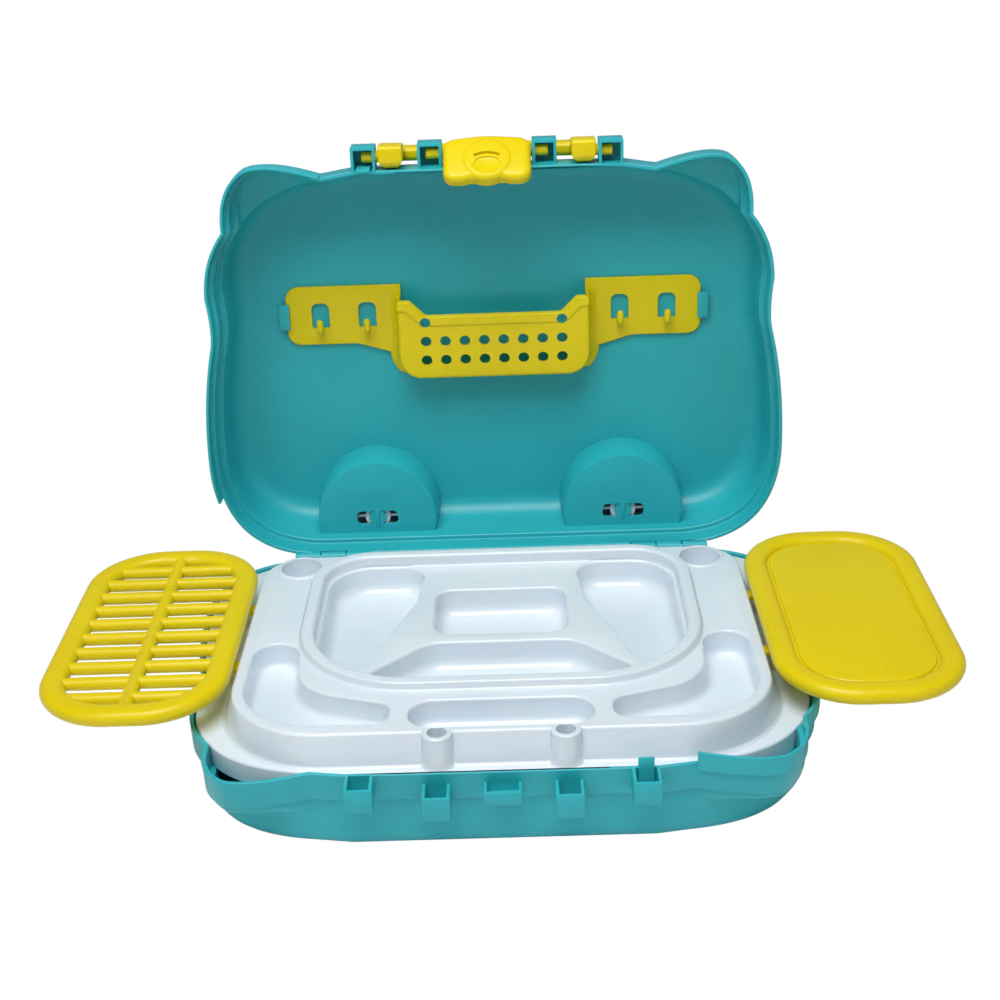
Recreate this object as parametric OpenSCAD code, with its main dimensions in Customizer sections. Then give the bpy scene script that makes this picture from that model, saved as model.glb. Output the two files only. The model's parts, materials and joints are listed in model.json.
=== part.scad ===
// Toy case that opens out into a play table, shown open with its lid upright.
// Two identical shells are hinged at the back. The base holds a lift-out tray,
// with a bar rack and a board plugged into its sides. The lid holds an
// organiser, the carrying handle and the latch. Each shell has two wheels.
// Shell frame: x across, v away from the hinge axis, d outwards from the rim.

/* [Shells] */
// Width over the lower bulges
case_w = 347; // [343:1:353]
// Distance from the rear wall to the front edge
case_l = 240; // [238:1:244]
// Depth of one shell from rim to outer face
shell_depth = 50; // [49.5:0.5:54]
// Wall thickness
wall = 2.2; // [1.8:0.1:2.8]
// How far each side is drawn in at the shoulders
shoulder_in = 8.5; // [6:0.5:11]
// How far each side is drawn in at the foot of the ears
neck_in = 21.5; // [20:0.5:23]
// Distance between the two notches in front of the ears
notch_w = 192; // [190:1:196]
// Distance from the front edge back to the neck
neck_back = 32; // [30:1:34]
// How far the ears rise ahead of the neck
ear_rise = 51; // [44:1:56]
// Radius of the rear corners
rear_corner_r = 58; // [50:1:62]
// Height of the rim band
band_h = 15.5; // [15:0.5:16]
// Depth of the ears below the rim
ear_depth = 23; // [21.5:0.5:24]
// Radius between the wall and the outer face
face_round = 15; // [12:1:16]

/* [Overlapping lip] */
// Height of the lip above the rim
lip_h = 7; // [4:0.5:8]
// Thickness of the lip
lip_t = 1.6; // [1.4:0.1:1.8]

/* [Sockets] */
// Outer width of a socket
socket_w = 14; // [13.5:0.5:15]
// How far a socket stands out from the front edge
socket_out = 13.5; // [13:0.25:14]
// Outer height of a socket
socket_h = 13; // [12.6:0.2:14]
// Wall of a socket
socket_wall = 1.7; // [1.5:0.1:1.9]
// Distance from the middle to an outer socket
outer_socket_x = 70.5; // [70:0.5:72]
// Distance from the middle to an inner socket
inner_socket_x = 32.8; // [32.8:0.1:34]
// How far the inner sockets and the catch lie below the rim
socket_drop = 6; // [5.5:0.5:6.5]
// Width of the latch catch
catch_w = 19; // [16:1:24]

/* [Hinge] */
// Distance from the rear wall to the hinge axis
hinge_gap = 1; // [0.8:0.1:1.4]
// Radius of the hinge knuckles
knuckle_r = 3.6; // [3.2:0.1:3.6]
// Length of one knuckle
knuckle_l = 16; // [12:0.5:17]
// Radius of the hinge pins
hinge_pin_r = 2; // [1.5:0.1:2.4]
// Angle between the rims when the lid stands open
lid_open = 91.5; // [90:0.5:94]

/* [Wheels] */
// Radius of a wheel
wheel_r = 33.5; // [31:0.5:33.5]
// Width of a wheel
wheel_w = 22.5; // [20:0.5:22.5]
// Distance from the side of the case in to a wheel's middle
wheel_in_x = 95.5; // [94:0.5:98]
// Distance from the rear wall to a wheel's centre
wheel_in = 15.5; // [14:0.5:17]
// Radius of the axle boss
axle_r = 5.3; // [4.5:0.1:6]
// Number of spokes in a wheel
spokes = 8; // [5:1:12]
// Depth of the wheel housing's flat below the rim
well_d = 22; // [22:0.5:23]
// Gap round the wheel in its housing
well_gap = 1.8; // [1.5:0.1:2.2]

/* [Tray] */
// Height of the tray's top face above the rim
tray_rise = 15.5; // [14:0.5:15.5]
// Wall thickness of the tray
tray_wall = 2; // [1.6:0.1:2.4]
// Width of the tray beside its raised block
block_side = 28; // [26:0.5:30]
// Depth of the compartments
cell_depth = 14.5; // [10:0.5:15]
// Height of the dish's rim above the tray
dish_rise = 4; // [2.5:0.1:4.2]
// Radius of the round cups
cup_r = 12; // [9:0.5:12.5]
// Inner radius of the two tool tubes
tube_r = 4.8; // [4:0.1:5]

/* [Side plates] */
// Width of a side plate
plate_w = 100; // [92:1:104]
// Length of a side plate
plate_l = 188; // [182:1:194]
// Corner radius of a side plate
plate_r = 42; // [36:1:46]
// Radius of the bead round a side plate
bead_r = 4.5; // [4:0.1:4.6]
// Number of bars in the rack
bars = 10; // [7:1:11]
// Radius of a bar
bar_r = 3.5; // [2.5:0.1:3.5]

/* [Organiser] */
// Width over the organiser's wings
org_w = 256; // [252:1:258]
// Height of a wing
wing_h = 37; // [35:0.5:38]
// Width of the pocket
pocket_w = 118; // [112:1:120]
// Height of the pocket at its sides
pocket_h = 51; // [49:1:52]
// How far the pocket stands out
pocket_out = 17; // [12:0.5:19]
// Thickness of the organiser
org_t = 2.2; // [1.8:0.1:2.6]
// Radius of the pocket's holes
hole_r = 3.25; // [2.5:0.05:4]
// Number of holes in a row
holes = 8; // [5:1:8]

/* [Handle and latch] */
// Distance from the pivot to the middle of the grip
handle_arm = 29.5; // [28:0.5:32]
// Radius of the pivot pins
pivot_r = 3.2; // [2.6:0.1:3.2]
// Width of the latch
latch_w = 50; // [48:0.5:50]
// Length of the latch
latch_l = 32; // [32:0.5:33]
// Thickness of the latch plate
latch_t = 4.6; // [4:0.2:5]

/* [Hidden] */

teal = "#3AAEB8";
yellow = "#D9C51B";
white = "#E4EBF0";

clear = 0.35;            // gap between pieces that move past each other
fit_gap = 0.05;          // radial running fit of a pin in its bore
seat_gap = 0.3;          // gap between a piece and the seat it rests on
over = 0.6;              // how far a cut runs past a face
arc_step = 9;            // angle between points on a rounded corner

// ---- places in the case -----------------------------------------------------
rear_v = hinge_gap;
front_v = rear_v + case_l;
hinge_y = (rear_v + front_v) / 2;
rim_z = shell_depth;
rim_gap = 0.2;           // half the gap between the two rims when closed
neck_v = front_v - neck_back;
notch_v = front_v - 3;
bulge_v = rear_v + 62;
waist_v = neck_v - 68;
shoulder_v = neck_v - 38;
band_step = 2.5;
face_draft = 1.4;        // how far the wall leans in below the ears

// ---- outlines ---------------------------------------------------------------
// Arc of radius c[2] that rounds the corner c between the points a and b
function corner_arc(a, c, b, step) =
    let (p = [c[0], c[1]],
         u = (a - p) / norm(a - p),
         w = (b - p) / norm(b - p),
         half = acos(max(-1, min(1, u * w))) / 2,
         r = c[2],
         reach = r / tan(half),
         mid = (u + w) / norm(u + w),
         centre = p + mid * r / sin(half),
         from = p + u * reach - centre,
         turn = 180 - 2 * half,
         side = (from[0] * (p + w * reach - centre)[1] - from[1] * (p + w * reach - centre)[0]) > 0 ? 1 : -1,
         n = max(2, ceil(turn / step)))
    [for (i = [0:n]) centre + [from[0] * cos(side * turn * i / n) - from[1] * sin(side * turn * i / n),
                               from[0] * sin(side * turn * i / n) + from[1] * cos(side * turn * i / n)]];
function flat(p) = [p[0], p[1]];
// Closed outline through corners [x, y, r]
function rounded(c, step = arc_step) =
    let (n = len(c))
    [for (i = [0:n - 1]) each (c[i][2] > 0
        ? corner_arc(flat(c[(i + n - 1) % n]), c[i], flat(c[(i + 1) % n]), step)
        : [flat(c[i])])];
// Rounded rectangle round the centre m
function round_rect(m, w, l, r, step = arc_step) = rounded([
    [m[0] - w / 2, m[1] - l / 2, r], [m[0] + w / 2, m[1] - l / 2, r],
    [m[0] + w / 2, m[1] + l / 2, r], [m[0] - w / 2, m[1] + l / 2, r]], step);
// The same outline moved inwards by g (outwards when g is negative)
function inset(pts, g) =
    let (n = len(pts))
    [for (i = [0:n - 1]) let (
        a = pts[i] - pts[(i + n - 1) % n],
        b = pts[(i + 1) % n] - pts[i],
        u = a / norm(a) + b / norm(b)) pts[i] + 2 * g / (u * u) * [-u[1], u[0]]];
function mirrored(pts) = [for (i = [len(pts) - 1:-1:0]) [-pts[i][0], pts[i][1]]];
// Points of a curve from a to c, pulled towards b; c itself is left out
function bend(a, b, c, n) = [for (i = [0:n - 1]) let (t = i / n, s = 1 - t)
    s * s * a + 2 * s * t * b + t * t * c];

// Right-hand side wall, from the rear corner to the neck
neck = [case_w / 2 - neck_in, neck_v];
notch = [notch_w / 2, notch_v];
rear_corner = [case_w / 2 - 3.5 - rear_corner_r, rear_v];
bulge = [case_w / 2, bulge_v];
waist = [case_w / 2 - shoulder_in, waist_v];
shoulder = [case_w / 2 - shoulder_in + 0.5, shoulder_v];
side_wall = concat(
    bend(rear_corner, [case_w / 2 - 2.5, rear_v + 2], bulge, 9),
    bend(bulge, bulge + [0.5, 42], waist, 4),
    bend(waist, waist + [-2, 10], shoulder, 2),
    bend(shoulder, shoulder + [-0.5, 22], neck, 4));
// The stretch from neck to notch: round the ear, or straight on along the body
ear_tip = [notch[0] + 42, notch_v - 46 + ear_rise];
ear_curve = concat(bend(neck, [ear_tip[0] + 15, ear_tip[1] - 9], ear_tip, 5),
    bend(ear_tip, ear_tip + [-12, 5], notch, 5));
body_curve = bend(neck, neck + [-16, 24], notch, 10);
front_bend = [notch[0] - 18, front_v];
function half_outline(e) = concat(side_wall, ear_curve * (1 - e) + body_curve * e, [notch, front_bend]);
// Whole outline: e = 0 goes round the ears, e = 1 leaves them out
function case_outline(e) = concat(half_outline(e), mirrored(half_outline(e)));
eared = case_outline(0);
plain = case_outline(1);

// ---- solids from outlines ---------------------------------------------------
// Closed body through a stack of rings, each [height, points], with points in step
module loft(rings) {
    n = len(rings[0][1]);
    m = len(rings);
    polyhedron(
        points = [for (r = rings) each [for (p = r[1]) [p[0], p[1], r[0]]]],
        faces = concat(
            [[for (i = [0:n - 1]) i]],
            [for (k = [0:m - 2], i = [0:n - 1]) let (j = (i + 1) % n)
                each [[k * n + j, k * n + i, (k + 1) * n + j],
                      [(k + 1) * n + j, k * n + i, (k + 1) * n + i]]],
            [[for (i = [n - 1:-1:0]) (m - 1) * n + i]]),
        convexity = 8);
}
module slab(pts, from, to) translate([0, 0, from]) linear_extrude(to - from, convexity = 6) polygon(pts);
module block(x0, x1, y0, y1, z0, z1) translate([x0, y0, z0]) cube([x1 - x0, y1 - y0, z1 - z0]);
module both_sides() {
    children();
    mirror([1, 0, 0]) children();
}
module in_base() translate([0, hinge_y, rim_z]) rotate([180, 0, 0]) children();
module in_lid() translate([0, hinge_y, rim_z]) rotate([-lid_open, 0, 0]) rotate([0, 0, 180]) children();

// ---- shells -----------------------------------------------------------------
shelf_d = band_h - 1.8;                     // shelf inside the rim band that carries the tray
shelf_w = 3;
round_top = shell_depth - face_round;
rounding = [0, 30, 60, 90];
wall_foot = band_step + face_draft;
function outer_rings() = concat(
    [[rim_gap, eared], [band_h - 1, inset(eared, 0.3)], [band_h, inset(eared, 1.3)],
     [band_h + 0.6, inset(eared, band_step)], [ear_depth - 2, inset(case_outline(0.1), band_step + 0.2)],
     [ear_depth + 2, inset(case_outline(0.8), band_step + 0.4)],
     [ear_depth + 5, inset(plain, band_step + 0.5)]],
    [for (a = rounding)
        [round_top + face_round * sin(a), inset(plain, wall_foot + face_round * (1 - cos(a)))]]);
inner_round = face_round - wall;
function inner_rings() = concat(
    [[-over, inset(eared, wall)], [shelf_d, inset(eared, wall)],
     [shelf_d + 0.2, inset(eared, wall + shelf_w)],
     [ear_depth - wall - 1.5, inset(case_outline(0.1), wall + shelf_w + 0.1)],
     [ear_depth - wall + 1.5, inset(case_outline(0.8), wall + shelf_w + 0.2)],
     [ear_depth - wall + 5, inset(plain, wall + shelf_w + 0.3)]],
    [for (a = rounding)
        [round_top + inner_round * sin(a), inset(plain, wall + wall_foot + inner_round * (1 - cos(a)))]]);

// Outer socket or inner socket, open towards the rim
module socket(x, drop) {
    difference() {
        block(x - socket_w / 2, x + socket_w / 2, front_v - over - 1, front_v + socket_out,
            max(drop, rim_gap + 0.2), drop + socket_h);
        block(x - socket_w / 2 + socket_wall, x + socket_w / 2 - socket_wall,
            front_v, front_v + socket_out - socket_wall,
            drop - over, drop + socket_h - socket_wall);
    }
}
pivot_v = front_v + 7;
handle_d = 6.5;                             // depth of the handle's pivot below the rim
latch_d = socket_drop + 5.5;                // depth of the latch's pivot below the rim
catch_out = 10;
catch_h = 7;
module latch_catch() {
    difference() {
        block(-catch_w / 2, catch_w / 2, front_v - over - 1, front_v + catch_out,
            socket_drop, socket_drop + catch_h);
        block(-catch_w / 2 + socket_wall, catch_w / 2 - socket_wall,
            front_v, front_v + catch_out - socket_wall,
            socket_drop - over, socket_drop + catch_h - socket_wall);
    }
}
// Tongue on the lipped side that locates in the other shell's outer socket
tongue_w = 8;
tongue_h = 6.5;
module tongue() {
    translate([outer_socket_x - tongue_w / 2, 0, 0]) {
        block(0, tongue_w, front_v + clear, front_v + 2, -tongue_h, socket_h - over);
        block(0, tongue_w, front_v - 1, front_v + 1, over, socket_h - over);
    }
}
// Lip round the outside of the rim on one half, which overlaps the other shell
lip_first = [for (i = [0:len(eared) - 1]) if (eared[i][1] > rear_v + 38) i][0];
lip_last = len(side_wall) + len(ear_curve);
lip_foot = 3;
function lip_part(g) = let (q = inset(eared, g)) concat([(q[lip_first] + q[lip_first + 1]) / 2],
    [for (i = [lip_first + 1:lip_last - 1]) q[i]], [(q[lip_last - 1] + q[lip_last]) / 2]);
function strip(a, b) = concat([for (i = [len(a) - 1:-1:0]) a[i]], b);
module lip() {
    slab(strip(lip_part(-clear), lip_part(-clear - lip_t)), -lip_h, over);
    slab(strip(lip_part(1), lip_part(-clear - lip_t)), rim_gap + 0.2, lip_foot);
}
// Wheel housing: round, open at the rear wall and on the outer face
well_r = wheel_r + well_gap;
wheel_x = case_w / 2 - wheel_in_x;
axle_v = rear_v + wheel_in;
wheel_d = well_d + wall + 0.8;              // near side of a wheel
axle_head = 0.75;
head_d = wheel_d + wheel_w;                 // face of the wheel that the axle's head holds
slot_w = 26;
slot_h = 9;
fin_w = 2.4;
fin_h = 12.7;
module well_body() intersection() {
    translate([wheel_x, axle_v, well_d])
        cylinder(r1 = well_r + wall, r2 = well_r + wall + 2, h = shell_depth - well_d, $fn = 72);
    block(0, case_w, rear_v, front_v, 0, shell_depth);
}
module well_cut() {
    translate([wheel_x, axle_v, well_d + wall]) cylinder(r = well_r, h = shell_depth, $fn = 72);
    translate([wheel_x, axle_v, well_d - over]) {
        block(-slot_w / 2 + 3, slot_w / 2 - 3, -slot_h / 2, slot_h / 2, 0, wall + 2 * over);
        block(-slot_w / 2, slot_w / 2, -slot_h / 2 + 3, slot_h / 2 - 3, 0, wall + 2 * over);
        for (sx = [-1, 1], sy = [-1, 1]) translate([sx * (slot_w / 2 - 3), sy * (slot_h / 2 - 3), 0])
            cylinder(r = 3, h = wall + 2 * over, $fn = 24);
    }
}
module axle() translate([wheel_x, axle_v, 0]) {
    difference() {
        union() {
            translate([0, 0, well_d + 0.4]) cylinder(r = axle_r, h = head_d + 0.4 - well_d, $fn = 48);
            translate([0, 0, head_d + seat_gap])
                cylinder(r1 = axle_r + axle_head, r2 = axle_r - 0.6, h = 2, $fn = 48);
            translate([-fin_w / 2, -fin_h / 2, well_d - 0.4]) cube([fin_w, fin_h, wall + 0.4]);
        }
        translate([0, 0, well_d + wall + 1]) cylinder(r = axle_r - 2, h = shell_depth, $fn = 36);
        translate([-0.8, -well_r, head_d - 9]) cube([1.6, 2 * well_r, shell_depth]);
    }
}
// Knuckles: the two shells' sets interleave when one shell is turned over
knuckle_gap = 0.4;
hinge_x = case_w / 2 - 68.5;
module knuckle(x) {
    l = knuckle_l - knuckle_gap;
    translate([x - l / 2, 0, 0]) rotate([90, 0, 90]) linear_extrude(l) {
        circle(r = knuckle_r, $fn = 48);
        polygon([[0, 0.6], [-knuckle_r + 0.1, 0.6], [-knuckle_r + 0.6, 1.9],
            [rear_v + 1, 12], [rear_v + 1, 0.6]]);
    }
}
module knuckles() for (x = [hinge_x - knuckle_l, hinge_x + knuckle_l, -hinge_x]) knuckle(x);
// Room in the rear wall for the other shell's knuckles
module knuckle_room() for (x = [knuckle_l - hinge_x, -knuckle_l - hinge_x, hinge_x])
    translate([x - knuckle_l / 2 - clear, 0, 0]) rotate([0, 90, 0])
        cylinder(r = knuckle_r + clear, h = knuckle_l + 2 * clear, $fn = 48);
module hinge_bore() both_sides() translate([hinge_x - 2 * knuckle_l, 0, 0]) rotate([0, 90, 0])
    cylinder(r = hinge_pin_r + fit_gap, h = 4 * knuckle_l, $fn = 48);

// Clips moulded on the inside of the face, which hold the organiser
org_v = neck_v - 65.5;                     // middle of the organiser's wings
org_d = shell_depth - wall - 2.4;           // face of the wings that looks at the viewer
clip_w = 4;
clip_l = 16;
module clips() {
    both_sides() {
        block(org_w / 2 + clear, org_w / 2 + clear + clip_w, org_v - clip_l / 2, org_v + clip_l / 2,
            org_d - 2.5, shell_depth - wall + 0.5);
        block(org_w / 2 - 2, org_w / 2 + clear + 1, org_v - clip_l / 2, org_v + clip_l / 2,
            org_d - 2.5, org_d - clear);
    }
    block(-clip_l * 0.65, clip_l * 0.65, pocket_v - clear - clip_w, pocket_v - clear,
        org_d - 2.5, shell_depth - wall + 0.5);
}
pocket_drop = 5.5;                          // from the wings' top down to the pocket's rim
pocket_v = org_v + wing_h / 2 - pocket_drop - pocket_h;

recess = 0.8;
module shell() {
    difference() {
        union() {
            difference() {
                loft(outer_rings());
                difference() {
                    loft(inner_rings());
                    both_sides() well_body();
                }
                knuckle_room();
            }
            both_sides() {
                socket(outer_socket_x, 0);
                socket(inner_socket_x, socket_drop);
            }
            latch_catch();
            tongue();
            lip();
            knuckles();
        }
        both_sides() well_cut();
        hinge_bore();
        // bores for the handle's and the latch's pins
        both_sides() {
            translate([outer_socket_x - socket_w / 2 - over, pivot_v, handle_d]) rotate([0, 90, 0])
                cylinder(r = pivot_r + fit_gap, h = socket_wall + 2 * over, $fn = 48);
            translate([inner_socket_x - socket_w / 2 - over, pivot_v, latch_d]) rotate([0, 90, 0])
                cylinder(r = pivot_r + fit_gap, h = socket_wall + 2 * over, $fn = 48);
        }
        // shallow step in the rim band round the inner sockets
        translate([0, front_v - recess - 0.2, 0]) rotate([-90, 0, 0]) linear_extrude(socket_out)
            polygon([[-54, over], [54, over], [47, -socket_drop], [-47, -socket_drop]]);
    }
    both_sides() axle();
    clips();
}
module base_shell() color(teal) in_base() shell();
module lid_shell() color(teal) in_lid() shell();

module hinge_pin(side) color("#B8BCC0") in_base() translate([side * hinge_x, 0, 0]) rotate([0, 90, 0])
    cylinder(r = hinge_pin_r, h = 3 * knuckle_l - 1, center = true, $fn = 48);
module hinge_pin_left() hinge_pin(-1);
module hinge_pin_right() hinge_pin(1);

// ---- wheels -----------------------------------------------------------------
hub_wall = 2.6;
rim_t = 3;
module wheel() {
    bore_r = axle_r + fit_gap;
    difference() {
        union() {
            rotate_extrude($fn = 72) polygon([
                [bore_r, 0], [bore_r + hub_wall, 0],
                [bore_r + hub_wall, wheel_w - 4], [wheel_r - rim_t, wheel_w - 4],
                [wheel_r - rim_t, 1.5], [wheel_r - 1.5, 0], [wheel_r, 1.5], [wheel_r, wheel_w - 2],
                [wheel_r - 2, wheel_w], [wheel_r - 5, wheel_w], [wheel_r - 7, wheel_w - 1.5],
                [bore_r + 6, wheel_w - 1.5], [bore_r + 5, wheel_w], [bore_r, wheel_w]]);
            for (k = [0:spokes - 1]) rotate([0, 0, k * 360 / spokes])
                translate([bore_r + 1, -0.8, 1]) cube([wheel_r - rim_t / 2 - bore_r - 1, 1.6, wheel_w - 4]);
        }
    }
}
module wheel_place(side) translate([side * wheel_x, axle_v, wheel_d]) wheel();
// Seen from the front, the turned-over lid has its own left on the right
module base_wheel_left() color(white) in_base() wheel_place(-1);
module base_wheel_right() color(white) in_base() wheel_place(1);
module lid_wheel_left() color(white) in_lid() wheel_place(1);
module lid_wheel_right() color(white) in_lid() wheel_place(-1);

// ---- tray -------------------------------------------------------------------
skirt_z = rim_z - shelf_d + seat_gap;
ledge_z = rim_z - 1.5;                      // top of the flange round the block
top_z = rim_z + tray_rise;
dish_z = top_z + dish_rise;
cell_top_z = top_z - 3;                     // top of the partitions in the dish
cell_z = top_z - cell_depth - 5;
tray_inset = wall + 0.8;
block_rear = rear_v + 24;
block_front = front_v - 9;
block_w = case_w - 2 * block_side;
block_lean = 6;                             // how far the block's walls lean in
module plan(pts, from, to) translate([0, hinge_y, 0]) rotate([0, 0, 180]) slab(pts, from, to);
module plan_loft(rings) translate([0, hinge_y, 0]) rotate([0, 0, 180]) loft(rings);
block_outline = rounded([[-block_w / 2, block_rear, 45], [block_w / 2, block_rear, 45],
    [block_w / 2, block_front, 55], [-block_w / 2, block_front, 55]], 15);
dish_w = block_w - 69;
dish_rear = block_rear + 7;
dish_front = block_rear + 163;
dish_outline = rounded([[-dish_w / 2, dish_rear, 35], [dish_w / 2, dish_rear, 35],
    [dish_w / 2, dish_front, 64], [-dish_w / 2, dish_front, 64]], 15);
rim_w = 8;
// Compartments of the dish, as outlines in plan
stem_x = dish_w / 2 - 73;
cross_v = dish_rear + 99;                   // rear edge of the front compartment
cell_side = rounded([[stem_x + 5, dish_rear + rim_w + 1, 14],
    [dish_w / 2 - 10, dish_rear + rim_w + 1, 26], [dish_w / 2 - 10, dish_front - 50, 22],
    [dish_w / 2 - 36, dish_front - 22, 8], [dish_w / 2 - 49, cross_v - 6, 30],
    [stem_x + 10, dish_rear + 52, 24]], 20);
cell_middle = rounded([[-stem_x, dish_rear + 40, 10], [stem_x, dish_rear + 40, 10],
    [stem_x, cross_v - 6, 12], [-stem_x, cross_v - 6, 12]], 20);
arch_x = dish_w / 2 - 39;
cell_front = rounded([[-stem_x - 2, cross_v + 2, 22], [stem_x + 2, cross_v + 2, 22],
    [arch_x, dish_front - 24, 7], [arch_x - 12, dish_front - 10, 12],
    [12 - arch_x, dish_front - 10, 12], [-arch_x, dish_front - 24, 7]], 20);
pocket_front = round_rect([0, block_front - 21.5], 94, 25, 12.4, 20);
comma_x = block_w / 2 - 11.5;                // outer side of the curved pockets
comma = rounded([[comma_x - 24, block_front - 97, 12], [comma_x, block_front - 97, 12],
    [comma_x, block_front - 34, 34], [comma_x - 28, block_front - 14, 30], [57, block_front - 14, 8],
    [57, block_front - 32, 8], [comma_x - 27, block_front - 48, 30]], 20);
cup_at = [block_w / 2 - 26.5, block_rear + 21];
tube_at = [32, block_front - 4];
tube_wall = 2.6;
tube_depth = 17;
pocket_z = top_z - cell_depth;
module cut_down(c, g, floor_z, to) {
    plan(inset(c, g), floor_z + min(g, 0), to);
    plan(inset(mirrored(c), g), floor_z + min(g, 0), to);
}
module pocket_set(g) {
    cut_down(cell_side, g, cell_z, cell_top_z + over);
    plan(inset(cell_middle, g), cell_z + min(g, 0), cell_top_z + over);
    plan(inset(cell_front, g), cell_z + min(g, 0), cell_top_z + over);
    plan(inset(pocket_front, g), pocket_z + min(g, 0), top_z + over);
    cut_down(comma, g, pocket_z, top_z + over);
}
module at_each(p) for (s = [-1, 1]) translate([s * p[0], hinge_y - p[1], 0]) children();
tab_l = 8;                                  // width of the tongues that carry a side plate
tab_t = 3.4;
tab_z = rim_z + lip_h + clear;              // clear of the lip when a plate is drawn out
tabs_v = [rear_v + 83, rear_v + 147];
module play_tray() color(white) difference() {
    union() {
        plan(inset(plain, tray_inset), skirt_z, ledge_z);
        plan_loft([[ledge_z - 1, block_outline], [top_z - 2, inset(block_outline, block_lean - 1.6)],
            [top_z - 0.6, inset(block_outline, block_lean - 0.6)],
            [top_z, inset(block_outline, block_lean + 0.8)]]);
        plan_loft([[top_z - 1, dish_outline], [dish_z - 0.8, inset(dish_outline, 1)],
            [dish_z, inset(dish_outline, 2.2)]]);
        at_each(cup_at) translate([0, 0, top_z - 1]) cylinder(r = cup_r + 1.5, h = 1.8, $fn = 36);
        at_each(tube_at) translate([0, 0, ledge_z - 1])
            cylinder(r1 = tube_r + tube_wall + 1.3, r2 = tube_r + tube_wall, h = tray_rise + 2.5, $fn = 36);
    }
    // hollow underside, less the bodies of the pockets
    difference() {
        union() {
            plan(inset(plain, tray_inset + tray_wall), skirt_z - over, ledge_z - tray_wall);
            plan(inset(block_outline, tray_wall + block_lean), ledge_z - tray_wall - over, top_z - tray_wall);
        }
        pocket_set(-tray_wall);
        plan(inset(dish_outline, rim_w - tray_wall), cell_top_z - tray_wall, top_z);
        at_each(cup_at) translate([0, 0, pocket_z - tray_wall])
            cylinder(r = cup_r + tray_wall, h = cell_depth, $fn = 36);
        at_each(tube_at) translate([0, 0, top_z - tube_depth - tray_wall])
            cylinder(r = tube_r + tube_wall, h = tube_depth, $fn = 36);
    }
    plan(inset(dish_outline, rim_w), cell_top_z, dish_z + over);
    pocket_set(0);
    at_each(cup_at) translate([0, 0, pocket_z]) cylinder(r = cup_r, h = cell_depth + 2, $fn = 36);
    at_each(tube_at) translate([0, 0, top_z - tube_depth]) cylinder(r = tube_r, h = tube_depth + 2, $fn = 36);
    // slots that the side plates' tongues plug into
    both_sides() for (v = tabs_v) translate([tab_end - clear, hinge_y - v, tab_z - clear])
        translate([0, -tab_l / 2 - clear, 0]) cube([20, tab_l + 2 * clear, tab_t + 2 * clear]);
}

// ---- side plates ------------------------------------------------------------
plate_z = top_z + 1.5;                      // middle height of a side plate
plate_gap = 3;                              // from the block's foot in to the plate's edge
plate_x = block_w / 2 - plate_gap + plate_w / 2;
plate_v = rear_v + 118;
bead_w = 3 * bead_r;
bead_mid = plate_r - bead_w / 2;            // corner radius along the middle of the bead
module bead_section() {
    for (s = [-1, 1]) translate([s * (bead_w / 2 - bead_r), 0]) circle(r = bead_r, $fn = 32);
    square([bead_w - 2 * bead_r, 2 * bead_r], center = true);
}
module bead_side(reach, l) translate([reach, 0, 0]) rotate([90, 0, 0])
    linear_extrude(l, center = true) bead_section();
module bead() {
    half_w = plate_w / 2 - plate_r;
    half_l = plate_l / 2 - plate_r;
    for (k = [0:3]) translate([(k == 0 || k == 3 ? 1 : -1) * half_w, (k < 2 ? 1 : -1) * half_l, 0])
        rotate([0, 0, 90 * k]) rotate_extrude(angle = 90, $fn = 64) translate([bead_mid, 0]) bead_section();
    for (k = [0:3]) rotate([0, 0, 90 * k])
        bead_side((k % 2 == 0 ? half_w : half_l) + bead_mid, 2 * (k % 2 == 0 ? half_l : half_w) + 0.02);
}
// Two brackets under the inner bead, each with a tongue that enters the tray
tab_reach = 5.5;
tab_end = plate_x - plate_w / 2 - tab_reach; // tip of a tongue, inside the tray
module tabs() {
    inner = -plate_w / 2;
    low = tab_z - plate_z;
    for (v = tabs_v) translate([inner, plate_v - v - tab_l / 2, 0]) {
        block(plate_gap - 1, plate_gap + 7, 0, tab_l, low, 0);
        block(-tab_reach, plate_gap, 0, tab_l, low, low + tab_t);
    }
}
bar_pitch = 15.8;
// Half the width inside the bead's middle line, at the distance v from the plate's middle
function half_span(v) = let (past = max(0, abs(v) - (plate_l / 2 - plate_r)))
    plate_w / 2 - plate_r + sqrt(max(1, bead_mid * bead_mid - past * past));
module rack_plate() {
    bead();
    for (k = [0:bars - 1]) let (v = (k - (bars - 1) / 2) * bar_pitch)
        translate([0, v, 0]) rotate([0, 90, 0])
            cylinder(r = bar_r, h = 2 * half_span(v) - 3, center = true, $fn = 24);
    rotate([90, 0, 0]) cylinder(r = bar_r + 0.5, h = plate_l - bead_w, center = true, $fn = 24);
    tabs();
}
panel_w = plate_w - bead_w;
panel_l = plate_l - bead_w;
module board_plate() {
    bead();
    slab(round_rect([0, 0], panel_w, panel_l, bead_mid, 15), -1.4, 1);
    slab(round_rect([0, 0], panel_w - bead_w - 2, panel_l - bead_w - 2, bead_mid - bead_w / 2 - 1, 15),
        0.5, 2.6);
    tabs();
}
module bar_rack() color(yellow) translate([-plate_x, hinge_y - plate_v, plate_z])
    mirror([1, 0, 0]) rack_plate();
module side_board() color(yellow) translate([plate_x, hinge_y - plate_v, plate_z]) board_plate();

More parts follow.
